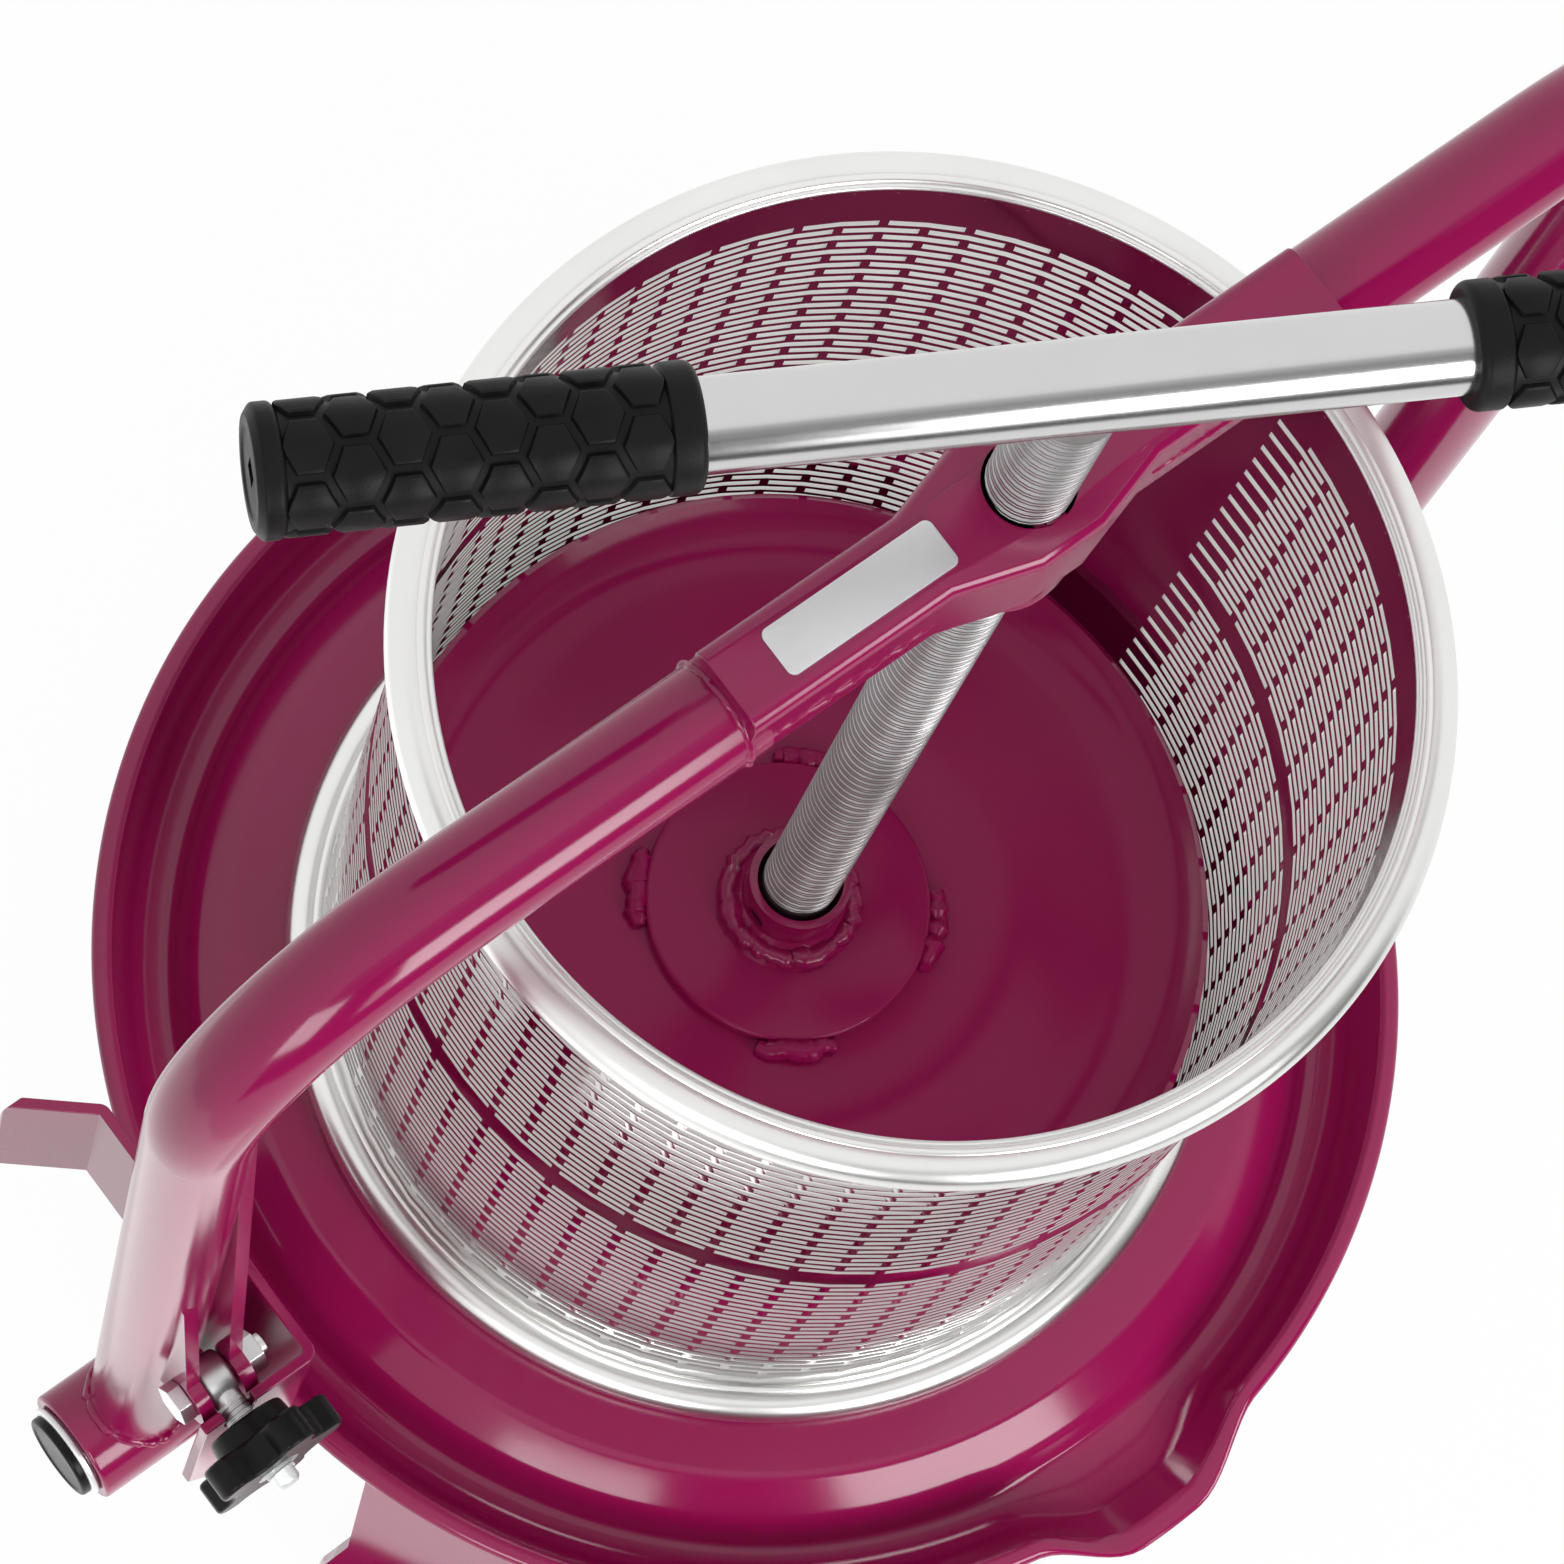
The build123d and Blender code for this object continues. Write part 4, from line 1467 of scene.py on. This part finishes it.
    def _grip_section(self) -> list[Corner]:
        """The grip's section, from its mouth on the bar to the vent in its end.

        Returns:
            The corners of the section.
        """
        near, far = self.inner_flange_radius, self.outer_flange_radius
        inner, outer = self.grip_inner, self.grip_outer
        floor_start = inner + self.inner_flange
        floor_end = outer - self.outer_flange
        dish = outer - self.end_dish[1]
        vent_floor = outer - self.vent_depth
        return [
            (self.handle_radius + self.mouth_gap, inner, 0.0),
            (near, inner, 2.2),
            (near, floor_start, 1.0),
            (self.grip_floor, floor_start + self.flange_slope, 0.5),
            (self.grip_floor, floor_end - self.flange_slope, 0.5),
            (far, floor_end, 1.6),
            (far, outer - self.end_taper[1], 1.2),
            (far - self.end_taper[0], outer, 1.2),
            (far - self.end_ring, outer, 0.4),
            (far - self.end_dish[0], dish, 0.4),
            (self.vent_half, dish, 0.0),
            (self.vent_half, vent_floor, 0.0),
            (0.0, vent_floor, 0.0),
        ]

    def _pads(self, bm: bmesh.types.BMesh) -> None:
        """Lays staggered hexagon pads out flat and wraps them round the bar.

        Args:
            bm: The empty mesh that takes the pads.
        """
        low = self.grip_inner + self.inner_flange + self.pad_margin
        high = self.grip_outer - self.outer_flange - self.pad_margin
        column_pitch = (high - low) / self.pad_columns
        around = math.tau * (self.grip_floor + self.pad_rise)
        row_pitch = around / self.pads_round
        half_height = (row_pitch - self.pad_groove) / 2
        half_width = column_pitch * 2 / 3 - self.pad_groove / 2
        self._pad(bm, half_width, half_height)
        pattern = [*bm.verts, *bm.edges, *bm.faces]
        for column in range(self.pad_columns):
            for row in range(self.pads_round):
                copy = bmesh.ops.duplicate(bm, geom=pattern)["geom"]
                verts = [item for item in copy if isinstance(item, bmesh.types.BMVert)]
                stagger = 0.5 if column % 2 else 0.0
                place = (low + column_pitch * (column + 0.5), row_pitch * (row + stagger), 0.0)
                bmesh.ops.translate(bm, vec=place, verts=verts)
        spare = [item for item in pattern if isinstance(item, bmesh.types.BMVert)]
        bmesh.ops.delete(bm, geom=spare, context="VERTS")
        self._cut_across(bm, around)
        for vert in bm.verts:
            angle = math.tau * vert.co.y / around
            radius = self.grip_floor - self.pad_sink + vert.co.z
            along = min(max(vert.co.x, low), high)
            vert.co = Vector((radius * math.cos(angle), radius * math.sin(angle), along))

    def _pad(self, bm: bmesh.types.BMesh, half_width: float, half_height: float) -> None:
        """Makes one raised hexagon, whose points lie along the bar.

        Args:
            bm: The empty mesh that takes the pad.
            half_width: From its middle to a point.
            half_height: From its middle to a flat.
        """
        hexagon = bmesh.ops.create_circle(bm, cap_ends=True, radius=1.0, segments=6)["verts"]
        flat = math.sqrt(0.75)
        turn = Matrix.Rotation(math.radians(30.0), 3, "Z")
        for vert in hexagon:
            vert.co = turn @ vert.co
            vert.co = Vector((vert.co.x * half_width, vert.co.y * half_height / flat, 0.0))
        shares = (self.pad_edge_share, 1.0 - self.pad_edge_share)
        tops = list(bm.faces)
        for thickness, share in zip((self.pad_edge, self.pad_crown), shares):
            depth = self.pad_rise * share
            sides = bmesh.ops.inset_individual(
                bm, faces=tops, thickness=thickness, depth=depth, use_even_offset=True
            )["faces"]
            tops = [face for face in tops if face not in set(sides)]

    def _cut_across(self, bm: bmesh.types.BMesh, around: float) -> None:
        """Cuts the flat pads at even steps, so that they can follow the round bar.

        Args:
            bm: The pads.
            around: The length that goes once round the bar.
        """
        cuts = self.cuts_a_pad * self.pads_round
        for cut in range(-self.cuts_a_pad, cuts + self.cuts_a_pad):
            bmesh.ops.bisect_plane(
                bm,
                geom=[*bm.verts, *bm.edges, *bm.faces],
                plane_co=(0.0, around * cut / cuts, 0.0),
                plane_no=(0.0, 1.0, 0.0),
            )


@dataclass
class PressHead:
    """The dished press plate with its doubling disc and welded hub."""

    paints: Paints
    nodes: dict[str, bpy.types.Object]
    flat_radius: float = 78.0
    rise_power: float = 3.5
    rise_points: int = 16
    ring_inner: float = 40.0
    ring_outer: float = 64.0
    ring_rise: float = 1.0
    ring_points: int = 10
    sheet: float = 3.0
    steps: int = 180
    disc_radius: float = 38.2
    disc_ease: float = 1.2
    disc_faces: int = 120
    weld_angles: tuple[float, ...] = (-124.5, -46.0, 42.5, 139.0)
    weld_span: float = 30.0
    weld_place: tuple[float, float] = (2.0, 1.8)
    weld_radius: float = 3.0
    weld_seed: float = 21.0
    hub_radius: float = 13.5
    hub_gap: float = 11.4
    hub_gap_start: float = 6.0
    hub_ease: float = 0.7
    hub_sharp: float = 40.0
    hub_weld_place: tuple[float, float] = (3.0, 2.6)
    hub_weld_radius: float = 2.9
    hub_weld_seed: float = 31.0

    def build(self) -> None:
        """Makes the plate, the disc with its four welds, and the hub."""
        self._plate()
        self._disc()
        self._hub()

    def _plate(self) -> None:
        """Spins the plate, whose edge rises in one smooth curve."""
        low = node_low("press_plate").z
        rim = node_high("press_plate")
        edge = rim.x - self.sheet
        rise = rim.z - low - self.sheet - self.ring_rise

        def top(reach: float) -> float:
            """Height of the plate's upper face."""
            share = max(reach - self.flat_radius, 0.0) / (edge - self.flat_radius)
            ring = self.ring_rise * smooth_share(reach, self.ring_inner, self.ring_outer)
            return low + self.sheet + ring + rise * share**self.rise_power

        ring_width = self.ring_outer - self.ring_inner
        rim_width = edge - self.flat_radius
        reaches = [0.0]
        for step in range(self.ring_points + 1):
            reaches.append(self.ring_inner + ring_width * step / self.ring_points)
        for step in range(self.rise_points + 1):
            reaches.append(self.flat_radius + rim_width * step / self.rise_points)
        near = 0.05
        upper, lower = [], []
        for reach in reaches:
            slope = (top(reach + near) - top(reach - near)) / (2 * near)
            point = Vector((reach, top(reach)))
            upper.append(point)
            lower.append(point + Vector((slope, -1.0)).normalized() * self.sheet)
        lower[0].x = 0.0
        bm = bmesh.new()
        lathe(bm, [*upper, *reversed(lower)], self.steps)
        # The plate's paint has weaker reflection, a painted shade for the darker reflections it gets under
        # the yoke.
        add_piece("press_plate_dish", bm, self.paints.dull_paint, Body.PLATE, ["press_plate"])

    def _disc(self) -> None:
        """Spins the doubling disc and lays the four welds that hold it."""
        low, high = node_low("plate_disc").z, node_high("plate_disc").z
        corners = [
            (0.0, high, 0.0),
            (self.disc_radius, high, self.disc_ease),
            (self.disc_radius, low, 0.0),
            (0.0, low, 0.0),
        ]
        bm = bmesh.new()
        lathe(bm, rounded(corners, 4), self.disc_faces)
        out, up = self.weld_place
        length = self.disc_radius * math.radians(self.weld_span)
        for number, middle in enumerate(self.weld_angles):
            toe = level_arc(self.disc_radius + out, low + up, middle, self.weld_span)
            weld_bead(bm, toe, length, self.weld_radius, self.weld_seed + number)
        # The disc's paint has weaker reflection, a painted shade for the darker reflections it gets under the
        # yoke.
        add_piece("doubling_disc", bm, self.paints.dull_paint, Body.PLATE, ["plate_disc"])

    def _hub(self) -> None:
        """Softens the hub and lays the weld round its foot."""
        low = node_low("plate_hub").z
        bm = eased_copy(self.nodes["plate_hub"], self.hub_ease, self.hub_sharp)
        set_bore(bm, self.hub_gap, self.hub_gap, low + self.hub_gap_start)
        out, up = self.hub_weld_place
        toe = level_arc(self.hub_radius + out, low + up, 180.0, 360.0)
        length = math.tau * self.hub_radius
        weld_bead(bm, toe, length, self.hub_weld_radius, self.hub_weld_seed, True)
        add_piece("plate_hub_collar", bm, self.paints.paint, Body.PLATE, ["plate_hub"])


@dataclass
class Latch:
    """The swing-bolt latch at the left foot: clevis, cross bolt, eye bolt and star knob."""

    paints: Paints
    nodes: dict[str, bpy.types.Object]
    middle: Triple = (-205.3, -20.0, 230.0)
    clevis_ease: float = 0.6
    bolt_ease: float = 0.5
    eye_bore: float = 3.05
    eye_radius: float = 6.5
    eye_half: float = 4.2
    eye_faces: int = 44
    shank_root: float = 3.4
    shank_crest: float = 4.0
    shank_pitch: float = 1.25
    shank_start: float = 4.5
    shank_faces: int = 32
    shank_crease: float = 50.0
    thread_margin: float = 3.0
    neck_length: float = 4.0
    neck_taper: float = 0.5
    neck_relief: float = 0.1
    tip_chamfer: tuple[float, float] = (0.9, 1.0)
    knob_radius: float = 20.0
    knob_waist: float = 13.6
    knob_lobes: int = 5
    knob_points: int = 90
    knob_head: float = 9.0
    knob_corner: float = 60.0
    knob_ease: float = 1.1
    knob_hub_radius: float = 10.5
    knob_hub_flare: float = 0.8
    knob_hub_overlap: float = 1.0
    knob_hub_faces: int = 40
    insert_radius: float = 6.0

    def build(self) -> None:
        """Makes each piece of the latch."""
        self._clevis()
        self._cross_bolt()
        self._eye_bolt()
        self._knob()

    def _clevis(self) -> None:
        """Softens the clevis plates."""
        bm = eased_copy(self.nodes["latch_clevis"], self.clevis_ease)
        paint = self.paints.paint
        add_piece("clevis_plates", bm, paint, Body.STAND, ["latch_clevis"], weighted=True)

    def _cross_bolt(self) -> None:
        """Softens the bolt and its nut."""
        for node in ("clevis_bolt", "clevis_nut"):
            bm = eased_copy(self.nodes[node], self.bolt_ease)
            add_piece(f"{node}_plated", bm, self.paints.zinc, Body.STAND, [node], weighted=True)

    def _eye_bolt(self) -> None:
        """Turns the eye and joins the threaded shank to it."""
        corners = [
            (self.eye_bore, -self.eye_half, 0.6),
            (self.eye_radius, -self.eye_half, 1.4),
            (self.eye_radius, self.eye_half, 1.4),
            (self.eye_bore, self.eye_half, 0.6),
        ]
        bm = bmesh.new()
        lathe(bm, rounded(corners, 4, closed=True), self.eye_faces, closed=True)
        turn_onto(bm, ALONG_X, Vector())
        shank = self._shank()
        carried = bpy.data.meshes.new("shank")
        shank.to_mesh(carried)
        shank.free()
        bm.from_mesh(carried)
        bpy.data.meshes.remove(carried)
        bmesh.ops.translate(bm, vec=self.middle, verts=bm.verts)
        zinc = self.paints.zinc
        add_piece("swing_bolt", bm, zinc, Body.EYE_BOLT, ["eye_bolt"], self.shank_crease)

    def _shank(self) -> bmesh.types.BMesh:
        """Cuts the thread on the eye bolt's shank, between its plain neck and its chamfered tip.

        Returns:
            The shank's mesh, which starts at the eye's middle and points towards the spout.
        """
        tip = self.middle[1] - node_low("eye_bolt").y
        thread_low = self.shank_start + self.thread_margin
        turns = int((tip - self.thread_margin - thread_low) / self.shank_pitch)
        bm = bmesh.new()
        thread(bm, self.shank_root, self.shank_crest, self.shank_pitch, thread_low, turns)
        bmesh.ops.holes_fill(bm, edges=bm.edges, sides=0)
        neck = self.shank_crest - self.neck_relief
        neck_end = self.shank_start + self.neck_length
        chamfer_in, chamfer_down = self.tip_chamfer
        core = [
            (0.0, self.shank_start),
            (neck, self.shank_start),
            (neck, neck_end),
            (self.shank_root, neck_end + self.neck_taper),
            (self.shank_root, tip - chamfer_down),
            (self.shank_root - chamfer_in, tip),
            (0.0, tip),
        ]
        lathe(bm, [Vector(point) for point in core], self.shank_faces)
        turn_onto(bm, TOWARDS_SPOUT, Vector())
        return bm

    def _knob(self) -> None:
        """Moulds the star knob: a lobed head with soft edges on a round hub."""
        near = -node_high("star_knob").y
        far = -node_low("star_knob").y
        head = far - self.knob_head
        bm = bmesh.new()
        slab(bm, self._star(), self.knob_head)
        corner = math.radians(self.knob_corner)
        rims = [edge for edge in bm.edges if edge.calc_face_angle() > corner]
        ease(bm, rims, self.knob_ease)
        bmesh.ops.translate(bm, vec=(0.0, 0.0, head), verts=bm.verts)
        join = head + self.knob_hub_overlap
        hub = [
            (self.insert_radius, join, 0.0),
            (self.insert_radius, near, 0.0),
            (self.knob_hub_radius, near, 1.0),
            (self.knob_hub_radius + self.knob_hub_flare, join, 0.0),
        ]
        lathe(bm, rounded(hub, 4), self.knob_hub_faces)
        turn_onto(bm, TOWARDS_SPOUT, Vector((self.middle[0], 0.0, self.middle[2])))
        plastic = self.paints.plastic
        add_piece("knob_star", bm, plastic, Body.KNOB, ["star_knob"], weighted=True)

    def _star(self) -> list[Vector]:
        """The outline of the knob's lobes.

        Returns:
            The points of the outline.
        """
        wave = (self.knob_radius - self.knob_waist) / 2
        mean = self.knob_waist + wave
        outline = []
        for step in range(self.knob_points):
            angle = math.tau * step / self.knob_points
            lobe = math.cos(self.knob_lobes * angle)
            reach = mean + wave * math.copysign(abs(lobe) ** 0.5, lobe)
            outline.append(Vector((reach * math.cos(angle), reach * math.sin(angle))))
        return outline


@dataclass
class Stand:
    """Legs, beam, brackets and the pivot ends."""

    paints: Paints
    nodes: dict[str, bpy.types.Object]
    legs: tuple[str, ...] = ("leg_rear", "leg_front_left", "leg_front_right")
    irons: tuple[str, ...] = ("lock_bracket", "pivot_bracket", "base_beam")
    sheet_ease: float = 0.8
    ring_width: float = 5.5
    ring_ease: float = 0.7
    cap_dish: float = 0.4
    cap_lip: tuple[float, float] = (2.2, 1.6)
    turned_faces: int = 56

    def build(self) -> None:
        """Softens the sheet pieces and turns the washers and caps."""
        for node in (*self.legs, *self.irons):
            bm = eased_copy(self.nodes[node], self.sheet_ease)
            add_piece(f"{node}_formed", bm, self.paints.paint, Body.STAND, [node], weighted=True)
        for side in Side:
            self._washer(side)
            self._cap(side)
            self._keep(side.node("pivot_axle"), self.paints.zinc)
        self._keep("knob_insert", self.paints.zinc)
        self._keep("hub_screw", self.paints.black)

    def _keep(self, node: str, finish: bpy.types.Material) -> None:
        """Gives a CAD node that stays as it is its finish.

        Args:
            node: The CAD node.
            finish: Its material.
        """
        for slot in self.nodes[node].material_slots:
            slot.material = finish
        LOG.info("%s keeps its CAD shape", node)

    def _washer(self, side: Side) -> None:
        """Turns one retaining ring.

        Args:
            side: Which foot it is on.
        """
        node = side.node("axle_washer")
        low, high = node_low(node), node_high(node)
        outer = high.y
        thickness = high.x - low.x
        bore = outer - self.ring_width
        corners = [
            (bore, 0.0, 0.0),
            (outer, 0.0, self.ring_ease),
            (outer, thickness, self.ring_ease),
            (bore, thickness, 0.0),
        ]
        bm = bmesh.new()
        lathe(bm, rounded(corners, 4, closed=True), self.turned_faces, closed=True)
        turn_onto(bm, ALONG_X, Vector((low.x, 0.0, (low.z + high.z) / 2)))
        add_piece(f"{node}_ring", bm, self.paints.zinc, Body.STAND, [node])

    def _cap(self, side: Side) -> None:
        """Moulds one cap with a rounded edge and a shallow dished face.

        Args:
            side: Which foot it is on.
        """
        node = side.node("axle_cap")
        low, high = node_low(node), node_high(node)
        radius = high.y
        thickness = high.x - low.x
        dish = thickness - self.cap_dish
        lip_foot, lip_top = self.cap_lip
        corners = [
            (0.0, dish, 0.0),
            (radius - lip_foot, dish, 0.5),
            (radius - lip_top, thickness, 0.4),
            (radius, thickness, 1.0),
            (radius, 0.0, 0.0),
            (0.0, 0.0, 0.0),
        ]
        bm = bmesh.new()
        lathe(bm, rounded(corners, 4), self.turned_faces)
        inner = low.x if side is Side.RIGHT else high.x
        turn_onto(bm, ALONG_X * side.value, Vector((inner, 0.0, (low.z + high.z) / 2)))
        add_piece(f"{node}_moulded", bm, self.paints.plastic, Body.STAND, [node])


@dataclass(frozen=True)
class Card:
    """A flat card that only shows in reflections: one corner, its two sides, and how bright it is."""

    name: str
    corner: Triple
    across: Triple
    along: Triple
    light: float


@dataclass(frozen=True)
class SoftLamp:
    """A soft lamp: where it hangs, its width and height, both in metres, and its power in watts."""

    name: str
    place: Triple
    size: tuple[float, float]
    power: float


CARDS = (
    Card("near_flag_0", (-2.6, -1.8, -1.5), (4.2, 0.0, 0.0), (0.0, 0.0, 3.4), 0.05),
    Card("near_flag_1", (-2.6, -1.8, 1.9), (4.2, 0.0, 0.0), (0.0, 0.0, 0.8), 0.3),
    Card("near_flag_2", (-2.6, -1.8, 2.7), (4.2, 0.0, 0.0), (0.0, 0.0, 0.95), 0.5),
    Card("bar_card", (-0.60, -1.5, 0.45), (0.2, 0.0, 0.0), (0.0, 0.0, 0.42), 3.0),
    Card("left_card", (-1.2, -0.35, 0.002), (0.955, 0.0, 0.0), (0.0, 1.0, 0.0), 1.5),
    Card("foot_card", (-0.245, -0.16, 0.002), (0.115, 0.0, 0.0), (0.0, 0.11, 0.0), 1.5),
)
LAMPS = (
    SoftLamp("near_softbox", (0.0, -1.5, 0.93), (0.8, 0.74), 17.0),
    SoftLamp("left_softbox", (-1.19, -0.93, 0.93), (0.56, 0.6), 7.5),
)


@dataclass
class Studio:
    """The camera, the lights, the floor and the white surroundings, in metres."""

    position: Triple = (-0.50763, -0.22495, 1.85921)
    forward: Triple = (0.29789, 0.14261, -0.94389)
    upward: Triple = (0.54469, 0.78662, 0.29075)
    lens: float = 153.81
    sensor: float = 36.0
    sight: float = 20.0
    floor_size: float = 1.3
    floor_colour: float = 0.85
    floor_roughness: float = 0.9
    floor_share: float = 0.97
    sky_middle: Triple = (0.312, 0.562, 0.766)
    sky_light: float = 0.86
    sky_dark: float = 0.03
    sky_edge: tuple[float, float] = (0.02, 0.52)
    lamp_aim: Triple = (0.0, 0.0, 0.3)

    def build(self) -> None:
        """Sets up the whole studio."""
        bpy.context.scene.view_settings.view_transform = "Standard"
        self._camera()
        self._world()
        self._floor()
        for card in CARDS:
            self._card(card)
        for lamp in LAMPS:
            self._lamp(lamp)

    def _camera(self) -> None:
        """Puts the camera where the photograph was taken from."""
        forward = Vector(self.forward).normalized()
        right = forward.cross(Vector(self.upward)).normalized()
        upward = right.cross(forward)
        turn = Matrix((right, upward, -forward)).transposed().to_4x4()
        data = bpy.data.cameras.new("photo_camera")
        data.lens = self.lens
        data.sensor_width = self.sensor
        data.clip_end = self.sight
        camera = bpy.data.objects.new("photo_camera", data)
        camera.matrix_world = Matrix.Translation(self.position) @ turn
        bpy.context.scene.collection.objects.link(camera)
        bpy.context.scene.camera = camera

    def _world(self) -> None:
        """Surrounds the press with white that shows plainly and lights it from the far side and above."""
        world = bpy.data.worlds.new("studio")
        world.use_nodes = True
        bpy.context.scene.world = world
        sheet = NodeSheet(world.node_tree)
        background = world.node_tree.nodes["Background"]
        facing = sheet.add("ShaderNodeVectorMath", operation="DOT_PRODUCT")
        sheet.join(sheet.add("ShaderNodeTexCoord").outputs["Generated"], facing.inputs[0])
        facing.inputs[1].default_value = self.sky_middle
        dome = sheet.add("ShaderNodeMapRange", interpolation_type="SMOOTHSTEP")
        sheet.feed(dome, Value=facing.outputs["Value"], From_Min=self.sky_edge[0], From_Max=self.sky_edge[1])
        sheet.feed(dome, To_Min=self.sky_dark, To_Max=self.sky_light)
        level = sheet.add("ShaderNodeMath", operation="MAXIMUM")
        sheet.join(dome.outputs["Result"], level.inputs[0])
        sheet.join(self._seen(sheet), level.inputs[1])
        sheet.feed(background, Color=WHITE, Strength=level.outputs["Value"])

    def _seen(self, sheet: NodeSheet) -> bpy.types.NodeSocket:
        """Makes a mask of the rays that show the surroundings themselves.

        Args:
            sheet: The shader tree that takes the mask.

        Returns:
            The socket that is 1 for a camera, glossy or transmission ray.
        """
        path = sheet.add("ShaderNodeLightPath").outputs
        first = sheet.add("ShaderNodeMath", operation="MAXIMUM")
        sheet.join(path["Is Camera Ray"], first.inputs[0])
        sheet.join(path["Is Glossy Ray"], first.inputs[1])
        second = sheet.add("ShaderNodeMath", operation="MAXIMUM")
        sheet.join(first.outputs["Value"], second.inputs[0])
        sheet.join(path["Is Transmission Ray"], second.inputs[1])
        return second.outputs["Value"]

    def _flat_piece(self, name: str, bm: bmesh.types.BMesh, material: bpy.types.Material) -> bpy.types.Object:
        """Turns a flat mesh into an object of the studio.

        Args:
            name: The object's name.
            bm: Its mesh in metres, which is used up.
            material: Its material.

        Returns:
            The object.
        """
        mesh = bpy.data.meshes.new(name)
        bm.to_mesh(mesh)
        bm.free()
        mesh.materials.append(material)
        flat = bpy.data.objects.new(name, mesh)
        bpy.context.scene.collection.objects.link(flat)
        return flat

    def _floor(self) -> None:
        """Lays a white floor that shows plainly and keeps a soft shadow."""
        material = bpy.data.materials.new("white_floor")
        material.use_nodes = True
        sheet = NodeSheet(material.node_tree)
        nodes = material.node_tree.nodes
        matt = nodes["Principled BSDF"]
        colour = (*(self.floor_colour,) * 3, 1.0)
        sheet.feed(matt, Base_Color=colour, Roughness=self.floor_roughness, Specular_IOR_Level=0.0)
        glow = sheet.add("ShaderNodeEmission")
        sheet.feed(glow, Color=WHITE, Strength=1.0)
        share = sheet.add("ShaderNodeMath", operation="MULTIPLY")
        sheet.join(self._seen(sheet), share.inputs[0])
        share.inputs[1].default_value = self.floor_share
        blend = sheet.add("ShaderNodeMixShader")
        sheet.join(share.outputs["Value"], blend.inputs[0])
        sheet.join(matt.outputs["BSDF"], blend.inputs[1])
        sheet.join(glow.outputs["Emission"], blend.inputs[2])
        sheet.join(blend.outputs["Shader"], nodes["Material Output"].inputs["Surface"])
        bm = bmesh.new()
        bmesh.ops.create_grid(bm, x_segments=4, y_segments=4, size=self.floor_size)
        floor = self._flat_piece("floor", bm, material)

    def _card(self, design: Card) -> None:
        """Sets up one card, bright or dark, that shapes the reflections.

        Args:
            design: The card's place and brightness.
        """
        material = bpy.data.materials.new(design.name)
        material.use_nodes = True
        sheet = NodeSheet(material.node_tree)
        glow = sheet.add("ShaderNodeEmission")
        sheet.feed(glow, Color=WHITE, Strength=design.light)
        sheet.join(glow.outputs["Emission"], material.node_tree.nodes["Material Output"].inputs["Surface"])
        bm = bmesh.new()
        bmesh.ops.create_grid(bm, x_segments=1, y_segments=1, size=0.5)
        bmesh.ops.translate(bm, vec=(0.5, 0.5, 0.0), verts=bm.verts)
        across, along = Vector(design.across), Vector(design.along)
        frame = Matrix((across, along, across.cross(along))).transposed().to_4x4()
        bmesh.ops.transform(bm, matrix=Matrix.Translation(design.corner) @ frame, verts=bm.verts)
        card = self._flat_piece(design.name, bm, material)
        card.visible_camera = False
        card.visible_diffuse = False
        card.visible_transmission = False
        card.visible_shadow = False

    def _lamp(self, design: SoftLamp) -> None:
        """Hangs one soft lamp that faces the basket.

        Args:
            design: The lamp's place, size and power.
        """
        data = bpy.data.lights.new(design.name, "AREA")
        data.shape = "RECTANGLE"
        data.size, data.size_y = design.size
        data.energy = design.power
        lamp = bpy.data.objects.new(design.name, data)
        aim = Vector(self.lamp_aim) - Vector(design.place)
        turn = aim.to_track_quat("-Z", "Y").to_matrix().to_4x4()
        lamp.matrix_world = Matrix.Translation(design.place) @ turn
        bpy.context.scene.collection.objects.link(lamp)


def main() -> None:
    """Builds the press around its frame, then the studio."""
    logging.basicConfig(level=logging.INFO, format="%(name)s: %(message)s")
    noise.seed_set(NOISE_SEED)
    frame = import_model()
    nodes = frame["nodes"]
    paints = Paints.mixed()
    for assembly in (
        JuiceTray(paints),
        Basket(paints),
        Yoke(paints, nodes),
        ScrewDrive(paints),
        PressHead(paints, nodes),
        Latch(paints, nodes),
        Stand(paints, nodes),
        Studio(),
    ):
        assembly.build()


if __name__ == "__main__":
    main()
